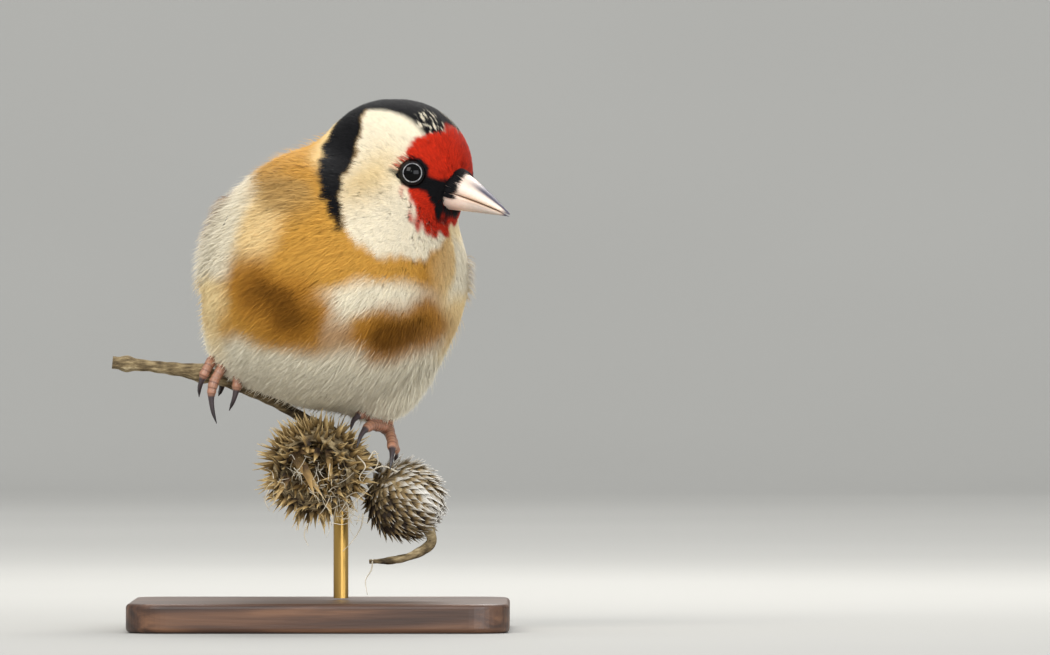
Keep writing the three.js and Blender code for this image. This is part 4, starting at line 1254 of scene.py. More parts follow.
def dress_group(tree, geometry, material):
    """Ends a node tree: its material is set and the geometry handed out."""
    dressed = add(tree, "GeometryNodeSetMaterial", {"Geometry": geometry, "Material": material})
    add(tree, "NodeGroupOutput", {"Geometry": dressed.outputs[0]})


def bead_ring_tree():
    """Geometry nodes: small scales set round a circle, made real."""
    tree, given = node_group(
        "lid scales",
        {
            "Radius": ("Float", LID_RING_RADIUS * MM),
            "Scales": ("Int", LID_SCALES),
            "Scale Radius": ("Float", LID_SCALE_RADIUS * MM),
            "Material": ("Material", None),
        },
    )
    circle = add(tree, "GeometryNodeMeshCircle", {"Vertices": given["Scales"], "Radius": given["Radius"]})
    bead = add(tree, "GeometryNodeMeshIcoSphere", {"Radius": given["Scale Radius"], "Subdivisions": 2})
    beads = add(
        tree,
        "GeometryNodeInstanceOnPoints",
        {"Points": circle.outputs[0], "Instance": bead.outputs[0], "Scale": (1.0, 1.0, 0.6)},
    )
    loop = add(tree, "GeometryNodeMeshToCurve", {"Mesh": circle.outputs[0]})
    profile = add(tree, "GeometryNodeCurvePrimitiveCircle", {"Resolution": 8, "Radius": LID_RIM_RADIUS * MM})
    sweep_inputs = {"Curve": loop.outputs[0], "Profile Curve": profile.outputs[0]}
    rim = add(tree, "GeometryNodeCurveToMesh", sweep_inputs)
    both = add(tree, "GeometryNodeJoinGeometry")
    tree.links.new(beads.outputs[0], both.inputs[0])
    tree.links.new(rim.outputs[0], both.inputs[0])
    real = add(tree, "GeometryNodeRealizeInstances", {"Geometry": both.outputs[0]})
    smoothed = add(tree, "GeometryNodeSetShadeSmooth", {"Geometry": real.outputs[0]})
    dress_group(tree, smoothed.outputs[0], given["Material"])
    return tree


def grown(name, tree, values, source=None):
    """Mesh that a node tree grows, with its named inputs set by their identifiers."""
    carrier = source or bpy.data.objects.new(name, bpy.data.meshes.new(name))
    bpy.context.scene.collection.objects.link(carrier)
    modifier = carrier.modifiers.new("grow", "NODES")
    modifier.node_group = tree
    sockets = {item.name: item.identifier for item in tree.interface.items_tree if item.in_out == "INPUT"}
    for socket, value in values.items():
        modifier[sockets[socket]] = value
    depsgraph = bpy.context.evaluated_depsgraph_get()
    mesh = bpy.data.meshes.new_from_object(carrier.evaluated_get(depsgraph))
    bpy.data.objects.remove(carrier)
    return linked(name, mesh)


def build_eye(name, side):
    """An eye: the ball, the ring of lid scales and the band of bare skin round it."""
    centre = from_head((EYE_CENTRE * (1, side, 1))[None])
    place = Matrix.Translation(Vector(centre[0] * MM))
    ball = bmesh.new()
    bmesh.ops.create_uvsphere(ball, u_segments=48, v_segments=32, radius=EYE_RADIUS * MM, matrix=place)
    mesh = bpy.data.meshes.new(f"{name}_ball")
    ball.to_mesh(mesh)
    ball.free()
    mesh.polygons.foreach_set("use_smooth", [True] * len(mesh.polygons))
    mesh.materials.append(EYE)
    made = linked(f"{name}_ball", mesh)
    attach(made, "root")
    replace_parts(made, name)
    facing = Vector(outward(settled(centre, 0.12))[0])
    turn = facing.to_track_quat("Z", "Y").to_matrix().to_4x4()
    lid = grown(f"{name}_lid", LID_TREE, {"Material": LID})
    rim_up = (EYE_RADIUS + 0.1) * np.cos(np.radians(LID_ANGLE))
    lid.data.transform(place @ turn @ Matrix.Translation((0, 0, rim_up * MM)))
    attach(lid, "root")
    angles = np.radians(BAND_ANGLES)[:, None]
    heights = (EYE_RADIUS + np.array(BAND_HEIGHTS))[:, None]
    around = np.linspace(0, 2 * np.pi, BAND_SIDES, endpoint=False)
    flat = heights * np.sin(angles)
    level = heights * np.cos(angles) + 0 * around
    band = np.stack([flat * np.cos(around), flat * np.sin(around), level], axis=-1)
    band = band.reshape(-1, 3) @ np.array(turn.to_3x3()).T + centre
    band_faces = grid_faces(len(BAND_ANGLES), BAND_SIDES, close=True)[:, ::-1]
    make_piece(f"{name}_skin", band, band_faces, DARK_SKIN, "eye")
    print(made.name, "stands", round(float(plumage(centre)[0]) + EYE_RADIUS, 2), "mm proud")


LID_TREE = bead_ring_tree()
build_eye("eye_left", 1)
build_eye("eye_right", -1)

# %% [markdown]
# Legs, toes, the stem and the withered curl are all swept along smooth routes. A route is a few
# chosen points; a centripetal spline through them is sampled evenly and a ring is set square to
# it at each step, turned as little as possible from the one before.

# %% Swept tubes


def knot_blend(t, start, end, first, second):
    """What lies between two points that are reached at two knots."""
    return (end - t) / (end - start) * first + (t - start) / (end - start) * second


def smooth_route(points, count):
    """Even samples of a centripetal spline through a few points, and its length."""
    points = np.asarray(points, float)
    ends = np.concatenate([[2 * points[0] - points[1]], points, [2 * points[-1] - points[-2]]])
    samples = []
    for i in range(len(points) - 1):
        p = ends[i : i + 4]
        gaps = np.sqrt(np.linalg.norm(np.diff(p, axis=0), axis=1)) + 1e-6
        knots = np.concatenate([[0], np.cumsum(gaps)])
        t = np.linspace(knots[1], knots[2], 24, endpoint=False)[:, None]
        a = [knot_blend(t, knots[j], knots[j + 1], p[j], p[j + 1]) for j in range(3)]
        b = [knot_blend(t, knots[j], knots[j + 2], a[j], a[j + 1]) for j in range(2)]
        samples.append(knot_blend(t, knots[1], knots[2], *b))
    dense = np.concatenate([*samples, points[-1:]])
    length = np.concatenate([[0], np.cumsum(np.linalg.norm(np.diff(dense, axis=0), axis=1))])
    even = np.linspace(0, length[-1], count)
    return np.stack([np.interp(even, length, dense[:, k]) for k in range(3)], axis=1), length[-1]


def swept(route, radii, sides, bumps=None):
    """Points and quads of a closed tube: a radius at each step, and a bump for each point."""
    forward = unit(np.gradient(route, axis=0))
    across = np.cross(forward[0], (0.3, 0.2, 1.0))
    rings = []
    turn = np.linspace(0, 2 * np.pi, sides, endpoint=False)
    for i in range(len(route)):
        across = unit(across - forward[i] * (across @ forward[i]))
        up = np.cross(forward[i], across)
        size = radii[i] + (bumps[i] if bumps is not None else 0)
        ring = np.outer(np.cos(turn), across) + np.outer(np.sin(turn), up)
        rings.append(route[i] + ring * np.reshape(size, (-1, 1)))
    return np.concatenate(rings), grid_faces(len(route), sides, close=True)


print("spline check:", smooth_route([(0, 0, 0), (1, 0, 0), (2, 1, 0)], 5)[0].round(2).tolist()[-1])

# %% [markdown]
# The feet are scaled skin over tendons: rings of scutes on top of each toe, soft pads below, and
# a dark claw that leaves the toe in a narrower curve.

# %% Legs and feet
LEGS = {
    "right": {"heel": (-14.6, 1.6, 52), "foot": (-16.2, -2.6, 46.9)},
    "left": {"heel": (11.9, 3.6, 44), "foot": (11.9, -2.2, 34.6)},
}
STEM_UNDER_FOOT = np.array([-17.5, -3, 43.9])
STEM_SLOPE = np.array([0.96, 0.05, -0.26])
STEM_UP = np.array([0.26, 0, 0.96])
RIGHT_TOES = [
    [(-1.6, 22, 2.9), (-2.2, 62, 2.85), (-2.6, 104, 2.9), (-2.7, 142, 3.5), (-2.4, 168, 4.4)],
    [(0.4, 22, 3.1), (0.1, 62, 3.1), (-0.5, 104, 3.5), (-0.4, 132, 5.0), (0.6, 150, 7.0), (1.8, 158, 8.6)],
    [(2.0, 24, 2.9), (3.0, 64, 2.85), (3.5, 104, 3.0), (3.6, 136, 4.2), (3.3, 160, 5.6)],
    [(0.4, -40, 2.8), (0.7, -85, 2.8), (0.9, -130, 2.9), (0.8, -172, 3.3)],
]
LEFT_TOES = [
    [(9.6, -3.6, 36.2), (7.6, -5.2, 37.4), (6.0, -7.4, 36.4), (5.4, -9.3, 34.6)],
    [(10.3, -4.6, 35.2), (8.9, -7.4, 35.4), (7.4, -10.6, 34), (6.5, -12.4, 31.6)],
    [(12.3, -4.8, 33.8), (12.6, -8, 32.2), (12.6, -10.4, 30.2), (12.3, -11.6, 27.8)],
    [(12.4, -0.2, 33.2), (12.9, 2.6, 31.6), (13.2, 4.8, 29.6), (13, 5.8, 27.4)],
]
HEAD_A = {"centre": np.array([-0.6, -6, 27.8]), "radius": 7.6}
HEAD_B = {"centre": np.array([14.6, -3, 22.6]), "radius": 6.4}
TOE_PAD = 0.85
TOE_STEPS = 72
TOE_SIDES = 12
LEG_STEPS = 60
LEG_SIDES = 14
TOE_PROFILE = [(0, 0.95), (0.14, 0.86), (0.45, 0.84), (0.6, 0.8)]
TOE_PROFILE += [(0.66, 0.56), (0.72, 0.46), (0.88, 0.32), (1, 0.06)]
LEG_PROFILE = [(0, 0.95), (0.15, 0.78), (0.6, 0.76), (1, 1.0)]
CLAW_FROM = 0.66
TOE_SCUTE = 0.95
LEG_SCUTE = 1.1
# The darker colour is painted shade, laid in the fold where each scute begins.
FOOT_COLOURS = palette(skin="#9C7058", crease="#664536", claw="#3A3032", claw_tip="#1D181B")


def round_stem(shift, turn, distance):
    """A point beside the stem: along it, and round it from the top towards the viewer."""
    angle = np.radians(turn)
    place = STEM_UNDER_FOOT + STEM_SLOPE * shift + STEM_UP * distance * np.cos(angle)
    return place + np.array([0, -1, 0]) * distance * np.sin(angle)


def clear_of_heads(point):
    """A toe's point moved out of the seed heads."""
    for head in (HEAD_A, HEAD_B):
        away = point - head["centre"]
        short = head["radius"] + TOE_PAD + 0.3 - np.linalg.norm(away)
        if short > 0:
            point = point + away / np.linalg.norm(away) * short
    return point


def scaled_skin_shader(tree):
    # Small scales about 0.3 mm across between the scutes.
    cells = add(tree, "ShaderNodeTexVoronoi", {"Vector": object_place(tree), "Scale": 3200.0})
    shade = spanned(tree, noise(tree, 900.0, 3.0), 0.75, 1.2)
    more = {"Normal": bumped(tree, cells.outputs["Distance"], 0.3, 0.00008)}
    more.update({"Subsurface Weight": 0.1, "Subsurface Scale": 0.0008})
    return surface(tree, shaded(tree, painted(tree), shade), 0.42, more)


# Thin scaled skin and horny claws: satin, a little pink light comes through.
FOOT_SKIN = finish_material("scaled foot skin", scaled_skin_shader)


def scute_colour(step):
    """Skin colour down a scute, darker with painted shade in the fold where it begins."""
    return over(FOOT_COLOURS["skin"], FOOT_COLOURS["crease"], smooth(0.3, 0.0, step))


def toe(points):
    """A toe and its claw: scute steps on the skin, a smooth horn beyond them."""
    route, length = smooth_route(points, TOE_STEPS)
    along = np.linspace(0, 1, TOE_STEPS)
    on_toe = smooth(CLAW_FROM, CLAW_FROM - 0.04, along)
    step = (along * length / TOE_SCUTE) % 1.0
    pads = 0.05 * np.sin(along * length * 2.1) * on_toe
    points, faces = swept(route, curve_at(TOE_PROFILE, along) + step * 0.07 * on_toe + pads, TOE_SIDES)
    claw = over(FOOT_COLOURS["claw"], FOOT_COLOURS["claw_tip"], smooth(0.7, 1, along))
    return points, faces, np.repeat(over(claw, scute_colour(step), on_toe), TOE_SIDES, axis=0)


def build_foot(side, toes):
    """Four toes that spring from a small ball at the foot of the leg."""
    parts, colours = [], []
    foot = np.array(LEGS[side]["foot"], float)
    for toe_points in toes:
        route = [clear_of_heads(np.array(p, float)) for p in [foot, *toe_points]]
        part_points, part_faces, part_colours = toe(route)
        parts.append((part_points, part_faces))
        colours.append(part_colours)
    ball_route, _ = smooth_route([foot + (0, 0, -0.9), foot, foot + (0, 0, 0.9)], 12)
    ball_radii = 1.12 * np.sqrt(np.clip(1 - np.linspace(-0.92, 0.92, 12) ** 2, 0.02, 1))
    parts.append(swept(ball_route, ball_radii, 14))
    colours.append(np.broadcast_to(FOOT_COLOURS["skin"], (len(parts[-1][0]), 3)))
    points, faces = joined(parts)
    colours = np.concatenate(colours)
    made = make_piece(f"foot_skin_{side}", points, faces, FOOT_SKIN, "leg_scales", colours=colours)
    close_ends(made)
    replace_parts(made, f"foot_{side}")
    print(made.name, "points:", len(points))


def build_leg(side):
    """The bare lower leg, ringed with scutes."""
    heel = np.array(LEGS[side]["heel"], float)
    foot = np.array(LEGS[side]["foot"], float)
    up = (heel - foot) / np.linalg.norm(heel - foot)
    route, length = smooth_route([foot + up * 0.6, (foot + heel) / 2, heel], LEG_STEPS)
    along = np.linspace(0, 1, LEG_STEPS)
    step = (along * length / LEG_SCUTE) % 1.0
    points, faces = swept(route, curve_at(LEG_PROFILE, along) + 0.06 * step, LEG_SIDES)
    colours = np.repeat(scute_colour(step), LEG_SIDES, axis=0)
    made = make_piece(f"leg_skin_{side}", points, faces, FOOT_SKIN, "leg_scales", colours=colours)
    close_ends(made)
    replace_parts(made, f"leg_{side}")
    print(made.name, "length:", round(float(length), 1), "mm")


build_foot("right", [[round_stem(*place) for place in toe_places] for toe_places in RIGHT_TOES])
build_foot("left", LEFT_TOES)
build_leg("right")
build_leg("left")

# %% [markdown]
# The thistle is last summer's: a grey-brown ribbed stem, weathered by rain, with fibres standing
# out of the bark, straw-yellow under it where the bark has split.

# %% Dry plant materials


def dry_plant(stops, streak_scale, roughness):
    """Describes dead plant tissue: streaks along x over larger patches."""

    def describe(tree):
        streaks = noise(tree, streak_scale, 5.0, stretched(tree, (0.25, 1.0, 1.0)), Roughness=0.65)
        total = maths(tree, "ADD", streaks, noise(tree, 220.0))
        colour = ramp(tree, maths(tree, "MULTIPLY", total, 0.5), stops)
        more = {"Normal": bumped(tree, streaks, 0.7, 0.0002), "Specular IOR Level": 0.25}
        return surface(tree, colour, roughness, more)

    return describe


def dead_bract(stops, lower_side_darkening=0.0):
    """Describes a bract: colour from root to tip, with fibres along it, and darker towards the lower left by
    a given share of its colours.
    """

    def describe(tree):
        along, across = map_axes(tree, "Bract")
        place = object_place(tree)
        shifted = maths(tree, "MULTIPLY_ADD", noise(tree, 420.0, 3.0, place), 0.9, along)
        moved = maths(tree, "SUBTRACT", shifted, 0.45)
        # The colours run darker towards the lower left of the head, away from up and to the right.
        facing = add(tree, "ShaderNodeVectorMath", {0: place, 1: (0.6, 0, 0.8)}, operation="DOT_PRODUCT")
        side_shift = spanned(tree, facing.outputs["Value"], -lower_side_darkening, 0.0, 0.0225, 0.0295)
        colour = ramp(tree, maths(tree, "ADD", moved, side_shift), stops)
        fibres = maths(tree, "SINE", maths(tree, "MULTIPLY", across, 40.0))
        more = {"Normal": bumped(tree, fibres, 0.4, 0.00008), "Specular IOR Level": 0.35}
        return surface(tree, colour, 0.62, more)

    return describe


# Weathered stem bark: grey with brown and straw streaks about 0.5 mm wide.
BARK_STOPS = [(0.36, "#2C2217"), (0.47, "#65563D"), (0.55, "#8A7959"), (0.64, "#B5A584")]
BARK = finish_material("weathered stem bark", dry_plant(BARK_STOPS, 1900.0, 0.85))
# Dead bracts of the open head: dark at the root, straw at the spine's tip.
STRAW_STOPS = [(0.12, "#271B10"), (0.55, "#94794B"), (1.0, "#DFC48C")]
STRAW_BRACT = finish_material("straw bract", dead_bract(STRAW_STOPS))
# Bracts of the closed head: silver, and darker towards the lower left of the head.
SILVER_STOPS = [(0.05, "#2B2016"), (0.36, "#86704A"), (0.6, "#B6B0A4"), (1.0, "#E2DFD8")]
SILVER_BRACT = finish_material("bleached bract", dead_bract(SILVER_STOPS, 0.42))
# Long inner bracts, polished straw.
GOLD_STOPS = [(0.12, "#4A351B"), (0.55, "#A58550"), (1.0, "#DCC79A")]
GOLD_BRACT = finish_material("inner bract", dead_bract(GOLD_STOPS))
# Pappus threads: silky off-white fibres.
PAPPUS = finish_material("pappus silk", dry_plant([(0.3, "#8F8470"), (0.6, "#CFC6B2")], 800.0, 0.6))
print("plant materials:", BARK.name, STRAW_BRACT.name, SILVER_BRACT.name)

# %% Stem
STEM_ROUTE = [(-36, -3.4, 46.4), (-28, -3.2, 45.6), (-20, -3, 44.4), (-13.9, -2.6, 42.2)]
STEM_ROUTE += [(-8, -1.4, 39.6), (-3.4, 1.4, 37), (1.5, 4.2, 34.4)]
STEM_RADII = [1.15, 1.05, 1.35, 1.1, 1.0, 1.0, 0.95]
STEM_FORK = [(-1.6, 2.4, 36.2), (4.5, 3.6, 33), (11.5, 0.6, 27)]
STEM_NECK_A = [(0.6, 3.6, 35), (1.4, 1.2, 33), (0.5, -1.6, 31.2)]
KNOTS = [((-20.4, -3, 44.4), 0.55, 1.6), ((-33.4, -3.3, 46.3), 0.4, 1.3)]


def stem_part(route, radii, steps, sides=28):
    """A ribbed length of stem: narrow ribs and a little unevenness along it."""
    centre, _ = smooth_route(route, steps)
    along = np.linspace(0, 1, steps)
    size = np.interp(along, np.linspace(0, 1, len(radii)), radii)
    for place, extra, reach in KNOTS:
        size = size + extra * np.exp(-((np.linalg.norm(centre - np.array(place), axis=1) / reach) ** 2))
    turn = np.linspace(0, 2 * np.pi, sides, endpoint=False)
    ribs = 0.06 * np.cos(7 * turn)[None] + 0.05 * np.sin(centre[:, :1] * 2.3 + 2 * turn[None])
    return swept(centre, size - 0.1, sides, ribs)


stem_parts = [
    stem_part(STEM_ROUTE, STEM_RADII, 150),
    stem_part(STEM_FORK, [0.95, 0.9, 0.85], 50),
    stem_part(STEM_NECK_A, [0.9, 0.95, 1.25], 30),
]
stem = make_piece("stem_bark", *joined(stem_parts), BARK, "thistle")
close_ends(stem)
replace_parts(stem, "perch_stem")
print("stem points:", len(stem.data.vertices))

# %% [markdown]
# A thistle's head is a round base packed with spine-tipped bracts. One bract is modelled and a
# node tree sets it on every rooted point, turned along its own lie and scaled, then makes the
# copies real. The open head points its mouth at the viewer; the closed one is combed sideways.

# %% One bract


def bract_mesh(name, width, hook):
    """A keeled lancet, one unit long along x, that narrows to a spine."""
    along = np.array([0, 0.3, 0.6, 0.82, 1.0])
    half = width * np.array([1.0, 1.0, 0.5, 0.16, 0.02])
    lift = hook * along**2
    keel = [(x, -w, z) for x, w, z in zip(along, half, lift)]
    rows = [
        [(x, w, z), (x, 0, z - 0.45 * w + 0.01), (x, -w, z), (x, 0, z + 0.25 * w - 0.01)]
        for x, w, z in keel
    ]
    points = np.array(rows).reshape(-1, 3)
    faces = grid_faces(len(along), 4, close=True)
    mesh = bpy.data.meshes.new(name)
    mesh.from_pydata(points.tolist(), [], faces.tolist())
    map_layer = mesh.uv_layers.new(name="Bract")
    places = np.stack([np.repeat(along, 4), np.tile([0.0, 0.5, 1.0, 0.5], len(along))], axis=1)
    loops = np.empty(len(mesh.loops), dtype=np.int32)
    mesh.loops.foreach_get("vertex_index", loops)
    map_layer.data.foreach_set("uv", places[loops].ravel())
    made = bpy.data.objects.new(name, mesh)
    close_ends(made)
    return made


def bract_tree():
    """Geometry nodes: a bract on each point, turned to its lie and its outward side."""
    kinds = {"Geometry": ("Geometry", None), "Bract": ("Object", None), "Material": ("Material", None)}
    tree, given = node_group("bracts on points", kinds)
    bract = add(tree, "GeometryNodeObjectInfo", {"Object": given["Bract"]})
    lie, out, size = [
        add(tree, "GeometryNodeInputNamedAttribute", {"Name": name}, data_type="FLOAT_VECTOR").outputs[0]
        for name in ("lie", "out", "size")
    ]
    axes = {"primary_axis": "X", "secondary_axis": "Z"}
    turn = add(tree, "FunctionNodeAxesToRotation", {0: lie, 1: out}, **axes)
    points = {"Points": given["Geometry"], "Instance": bract.outputs["Geometry"]}
    points.update({"Rotation": turn.outputs["Rotation"], "Scale": size})
    placed = add(tree, "GeometryNodeInstanceOnPoints", points)
    real = add(tree, "GeometryNodeRealizeInstances", {"Geometry": placed.outputs[0]})
    dress_group(tree, real.outputs[0], given["Material"])
    return tree


BRACT_TREE = bract_tree()
GOLDEN_ANGLE = 2.399963


def bracts_on(name, roots, lies, outs, sizes, bract, material):
    """Real bracts on points given in millimetres; sizes are length, width and height scales."""
    mesh = bpy.data.meshes.new(name)
    mesh.from_pydata((np.asarray(roots) * MM).tolist(), [], [])
    for attribute, values in (("lie", lies), ("out", outs), ("size", np.asarray(sizes) * MM)):
        layer = mesh.attributes.new(attribute, "FLOAT_VECTOR", "POINT")
        layer.data.foreach_set("vector", np.asarray(values, np.float32).ravel())
    source = bpy.data.objects.new(name, mesh)
    made = grown(name, BRACT_TREE, {"Bract": bract, "Material": material}, source)
    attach(made, "root")
    print(name, "faces:", len(made.data.polygons))
    return made


def spread_on_sphere(count):
    """Directions spread evenly, as seeds are on a flower's head."""
    i = np.arange(count)
    z = 1 - 2 * (i + 0.5) / count
    radius = np.sqrt(1 - z * z)
    turn = i * GOLDEN_ANGLE
    return np.stack([radius * np.cos(turn), radius * np.sin(turn), z], axis=1)


# %% Cores of the seed heads


def head_core(name, centre, radius, axis, bowl, node):
    """The receptacle: a lumpy ball, pressed in to a bowl where it is open."""
    shape = bmesh.new()
    bmesh.ops.create_icosphere(shape, subdivisions=5, radius=1)
    points = np.array([v.co for v in shape.verts])
    faces = np.array([[v.index for v in f.verts] for f in shape.faces])
    shape.free()
    place = points * (radius - 0.15 + 0.12 * wobble(points * radius, 0.6, seed=2)[:, None]) + centre
    if bowl:
        hollow = centre + axis * bowl["away"]
        inward = place - hollow
        distance = np.linalg.norm(inward, axis=1, keepdims=True)
        pressed = (axis @ (place - centre).T > 0)[:, None] & (distance < bowl["radius"])
        mirrored = place - axis * 2 * (inward @ axis)[:, None]
        rounded = hollow + (mirrored - hollow) / np.maximum(distance, 1e-6) * bowl["radius"]
        place = np.where(pressed, rounded, place)
    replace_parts(make_piece(name, place, faces, BARK, "thistle"), node)


AXIS_A = unit(np.array([-0.15, -0.96, -0.22]))
AXIS_B = unit(np.array([0.82, -0.42, -0.38]))
BOWL = {"away": 4.4, "radius": 6}
head_core("seed_head_open", HEAD_A["centre"], HEAD_A["radius"], AXIS_A, BOWL, "perch_head_a")
head_core("seed_head_closed", HEAD_B["centre"], HEAD_B["radius"], AXIS_B, None, "perch_head_b")
print("cores made")

# %% Bracts of the seed heads
SPINY = bract_mesh("spiny_bract", 0.13, 0.2)
COMBED = bract_mesh("combed_bract", 0.27, 0.06)
BLADE = bract_mesh("inner_blade", 0.1, -0.1)
# How far past the middle between both heads' centres a bract may reach, in millimetres.
MIDWAY = 8.7
PAST_MIDWAY = 1.6
# How the bracts lie: outwards, towards the mouth, and strays, then their lengths. The mouth is
# free of them, and each head keeps to its own side.
OPEN_LIE = {"count": 560, "out": 0.7, "mouth": 0.45, "stray": 0.3, "lengths": (2.2, 4.0), "seed": 7}
OPEN_LIE.update({"open_from": 0.74, "other_side": -1})
CLOSED_LIE = {"count": 330, "out": 0.36, "mouth": 0.9, "stray": 0.08, "lengths": (2.4, 3.2), "seed": 11}
CLOSED_LIE.update({"open_from": 2, "other_side": 1})


def cover_head(name, head, axis, lie, bract, material):
    """Bracts all over a head, leaning towards its mouth, kept clear of the bird and the other head."""
    rng = np.random.default_rng(lie["seed"])
    shape = (lie["count"], 3)
    outs = unit(spread_on_sphere(lie["count"]) + rng.normal(size=shape) * 0.04)
    mouthwards = unit(axis - (outs @ axis)[:, None] * outs)
    lies = unit(outs * lie["out"] + mouthwards * lie["mouth"] + rng.normal(size=shape) * lie["stray"])
    length = rng.uniform(*lie["lengths"], lie["count"])
    roots = head["centre"] + outs * (head["radius"] - 0.7)
    between = unit(HEAD_B["centre"] - HEAD_A["centre"])
    for share in (1.0, 0.75, 0.55):
        crossed = plumage(roots + lies * ((length + 0.6) * share)[:, None]) < 0.25
        length = np.where(crossed, length * 0.7, length)
    tips = roots + lies * (length + 0.6)[:, None]
    keep = (outs @ axis < lie["open_from"]) & (outs @ axis > -0.96) & (plumage(tips) > 0.2)
    beyond = ((tips - HEAD_A["centre"]) @ between - MIDWAY) * lie["other_side"]
    keep &= beyond > -PAST_MIDWAY
    sizes = np.stack([length + 0.6, length * 1.15, length * 1.15], axis=1)
    return bracts_on(name, roots[keep], lies[keep], outs[keep], sizes[keep], bract, material)


spines = cover_head("spines_open_head", HEAD_A, AXIS_A, OPEN_LIE, SPINY, STRAW_BRACT)
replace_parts(spines, "perch_head_a")
combed = cover_head("bracts_closed_head", HEAD_B, AXIS_B, CLOSED_LIE, COMBED, SILVER_BRACT)
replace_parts(combed, "perch_head_b")

# %% [markdown]
# Inside the open head long inner bracts and a wisp of pappus are left, and a withered flower
# stalk curls under the closed head. These are few, so each is listed one by one or placed by a short loop.

# %% Inside the open head
inner_rng = np.random.default_rng(23)
BOWL_MIDDLE = HEAD_A["centre"] + AXIS_A * 0.2
INNER = 150
inner_out = unit(np.cross(AXIS_A, inner_rng.normal(size=(INNER, 3))))
inner_roots = BOWL_MIDDLE + inner_out * inner_rng.uniform(0.8, 6.2, (INNER, 1))
inner_lies = unit(AXIS_A * 0.6 + inner_out * 0.35 + inner_rng.normal(size=(INNER, 3)) * 0.45)
inner_widths = np.full(INNER, 3.6)
inner_sizes = np.stack([inner_rng.uniform(2.6, 4.8, INNER), inner_widths, inner_widths], axis=1)
bracts_on("inner_bracts", inner_roots, inner_lies, -inner_out, inner_sizes, BLADE, GOLD_BRACT)
# Each long blade: where it is rooted, its lie, its outward side, and its length, width and height.
LONG_BLADES = [
    ((-4.6, -9.6, 30.8), (0.56, -0.2, -0.8), (0.1, -0.9, 0.3), (10.5, 9.5, 6)),
    ((-3.4, -11.0, 31.0), (0.75, -0.3, 0.05), (0.1, -0.8, 0.5), (4.5, 6, 4)),
    ((-5.4, -9.6, 26.6), (-0.45, -0.4, -0.8), (-0.2, -0.95, 0.2), (6.0, 6, 4)),
    ((1.6, -10.2, 31.4), (0.1, -0.3, -0.9), (0.2, -0.9, 0.3), (7, 6, 4)),
    ((-2.6, -10.4, 28.6), (0.3, -0.3, -0.9), (-0.3, -0.9, 0.2), (6.5, 6, 4)),
]
blade_roots, blade_lies, blade_outs, blade_sizes = map(np.array, zip(*LONG_BLADES))
bracts_on("long_blades", blade_roots, unit(blade_lies), unit(blade_outs), blade_sizes, BLADE, GOLD_BRACT)

# %% Withered stalk and threads
CURL = [(18.6, -3.6, 18.2), (19.4, -4, 15.2), (16.4, -4.6, 13), (12.4, -4.8, 12), (8.6, -4.6, 11.8)]
CURL_STEPS = 70
CURL_SIDES = 14
THREADS = [
    [(7.6, -7.2, 20.2), (7.2, -7.6, 17.8), (5.4, -7.8, 15.0), (4.0, -7.8, 13.6)],
    [(9.2, -4.8, 12.2), (9.0, -5.0, 10.4), (8.0, -5.0, 8.6), (8.3, -5.0, 6.0)],
    [(-2.0, -8.5, 18.5), (-2.6, -8.8, 16.4), (-1.9, -8.9, 14.6)],
    [(6.6, -9.8, 30.2), (8.0, -10.4, 28.4), (7.0, -10.6, 26.4), (8.6, -10.2, 24.4)],
    [(8.5, -9.6, 29.6), (9.6, -9.8, 31.0), (10.2, -9.4, 29.2), (9.2, -9.4, 27.2)],
    [(13.6, -8.6, 27.4), (11.0, -9.4, 28.4), (8.6, -9.8, 27.2), (6.6, -9.6, 24.2)],
    [(-8.6, -8.8, 24.4), (-9.4, -9.4, 22.6), (-8.6, -9.6, 20.6)],
]


def thread(points, thick):
    """A fine tube along a few points, thinner at its end."""
    route, _ = smooth_route(points, 40)
    return swept(route, np.linspace(thick, thick * 0.3, 40), 6)


def fluff(count, low, high, length):
    """Loose threads: short curved routes that start anywhere in a box."""
    routes = []
    for start in inner_rng.uniform(low, high, (count, 3)):
        way = unit(inner_rng.normal(size=3) * (1, 0.5, 1) + (0.2, -0.15, -0.3))
        bent = unit(way + inner_rng.normal(size=3) * 0.7)
        reach = inner_rng.uniform(*length)
        routes.append([start, start + way * reach * 0.5, start + (way + bent) * reach * 0.5])
    return routes


curl_route, _ = smooth_route(CURL, CURL_STEPS)
curl_turn = np.linspace(0, 2 * np.pi, CURL_SIDES, endpoint=False)
curl_ribs = 0.12 * np.cos(4 * curl_turn[None] + np.linspace(0, 18, CURL_STEPS)[:, None])
curl_radii = np.interp(np.linspace(0, 1, CURL_STEPS), [0, 0.4, 0.8, 1], [1.05, 0.75, 0.55, 0.25])
curl_points, curl_faces = swept(curl_route, curl_radii, CURL_SIDES, curl_ribs)
curl_piece = make_piece("withered_stalk", curl_points, curl_faces, BARK, "thistle")
close_ends(curl_piece)
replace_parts(curl_piece, "perch_head_b")
loose = fluff(36, (1.5, -12.6, 18.6), (7.0, -9.6, 23.8), (2.0, 4.5))
loose += fluff(34, (-4.5, -12.2, 23.5), (4.0, -9.5, 30.5), (1.8, 3.6))
loose += fluff(12, (-8.2, -11.5, 24.0), (-6.2, -8.5, 27.5), (1.6, 3.0))
threads_made = [thread(points, 0.15) for points in THREADS] + [thread(points, 0.08) for points in loose]
threads = make_piece("pappus_threads", *joined(threads_made), PAPPUS, "thistle")
close_ends(threads)
print("threads:", len(threads_made))

# %% [markdown]
# The stand isn't in the photo. It is a plain walnut base with eased edges, oiled and rubbed, and
# one thin brass rod, so that the bird and its perch can be set down.

# %% Stand


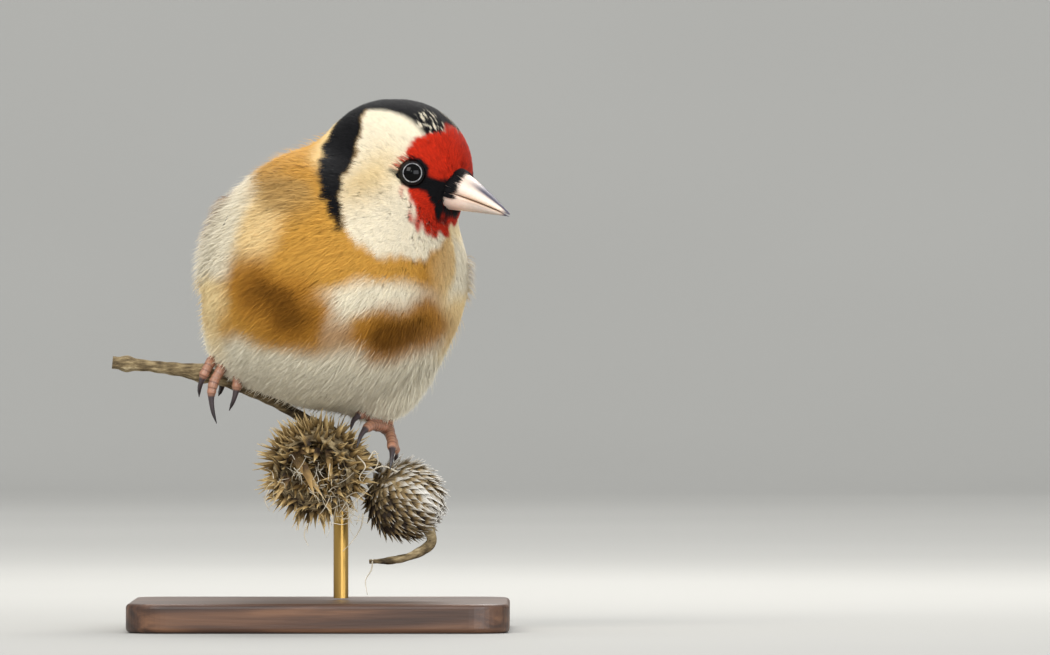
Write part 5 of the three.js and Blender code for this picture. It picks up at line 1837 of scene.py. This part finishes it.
def walnut_shader(tree):
    place = stretched(tree, (0.07, 1.0, 1.0))
    # Growth rings about 2.5 mm apart, pores as short dark dashes.
    grain = noise(tree, 400.0, 6.0, place, Distortion=0.6)
    colour = ramp(tree, grain, [(0.3, "#2A1A11"), (0.5, "#4A3020"), (0.68, "#6B4A33")])
    more = {"Normal": bumped(tree, noise(tree, 2400.0, 2.0, place), 0.25, 0.0001)}
    return surface(tree, colour, 0.45, {**more, "Coat Weight": 0.08, "Coat Roughness": 0.3})


def brass_shader(tree):
    drawn = noise(tree, 6000.0, 3.0, stretched(tree, (1.0, 1.0, 0.05)))
    return surface(tree, linear("#B5914F"), spanned(tree, drawn, 0.24, 0.42), {"Metallic": 1.0})


# Walnut, planed, sanded and oiled: dark grain with a low shine.
WALNUT = finish_material("oiled walnut", walnut_shader)
# Drawn brass rod, brushed along its length.
BRASS = finish_material("drawn brass", brass_shader)
EDGE_EASE = 0.0008
base_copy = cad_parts["stand_base"].data.copy()
base_shape = bmesh.new()
base_shape.from_mesh(base_copy)
bmesh.ops.remove_doubles(base_shape, verts=base_shape.verts, dist=0.00001)
bmesh.ops.dissolve_limit(base_shape, angle_limit=0.02, verts=base_shape.verts, edges=base_shape.edges)
sharp = [e for e in base_shape.edges if len(e.link_faces) == 2 and e.calc_face_angle() > 1.2]
bmesh.ops.bevel(base_shape, geom=sharp, offset=EDGE_EASE, segments=4, profile=0.5, affect="EDGES")
base_shape.to_mesh(base_copy)
base_shape.free()
base_copy.materials.clear()
base_copy.materials.append(WALNUT)
walnut_base = linked("walnut_base", base_copy)
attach(walnut_base, "root")
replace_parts(walnut_base, "stand_base")
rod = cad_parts["stand_rod"]
for rod_slot in rod.material_slots:
    rod_slot.material = BRASS
print("base faces:", len(base_copy.polygons))

# %% [markdown]
# The floor is a photographer's sweep: one pale sheet that runs back and curves up behind, so that
# no horizon shows.

# %% Floor and backdrop
SWEEP_HALF_WIDTH = 8.0
SWEEP_FRONT = -6.0
SWEEP_BACK = 2.1
SWEEP_RADIUS = 0.8
SWEEP_TOP = 6.0
UNDER_STAND = 0.0001
# Matt paper, rolled and hung.
PAPER = finish_material("backdrop paper", mottled(3.0, [(0.3, "#9B9A96"), (0.7, "#9F9E9A")], 0.9))
profile = [(SWEEP_FRONT, 0.0)]
for bend in np.linspace(0, np.pi / 2, 24):
    profile.append((SWEEP_BACK + SWEEP_RADIUS * np.sin(bend), SWEEP_RADIUS * (1 - np.cos(bend))))
profile.append((SWEEP_BACK + SWEEP_RADIUS, SWEEP_TOP))
sides = (-SWEEP_HALF_WIDTH, SWEEP_HALF_WIDTH)
sweep_points = [(x, y, z - UNDER_STAND) for y, z in profile for x in sides]
sweep_mesh = bpy.data.meshes.new("sweep")
sweep_mesh.from_pydata(sweep_points, [], grid_faces(len(profile), 2)[:, ::-1].tolist())
sweep_mesh.polygons.foreach_set("use_smooth", [True] * len(sweep_mesh.polygons))
sweep_mesh.materials.append(PAPER)
sweep = linked("sweep", sweep_mesh)
print("sweep points:", len(sweep_points))
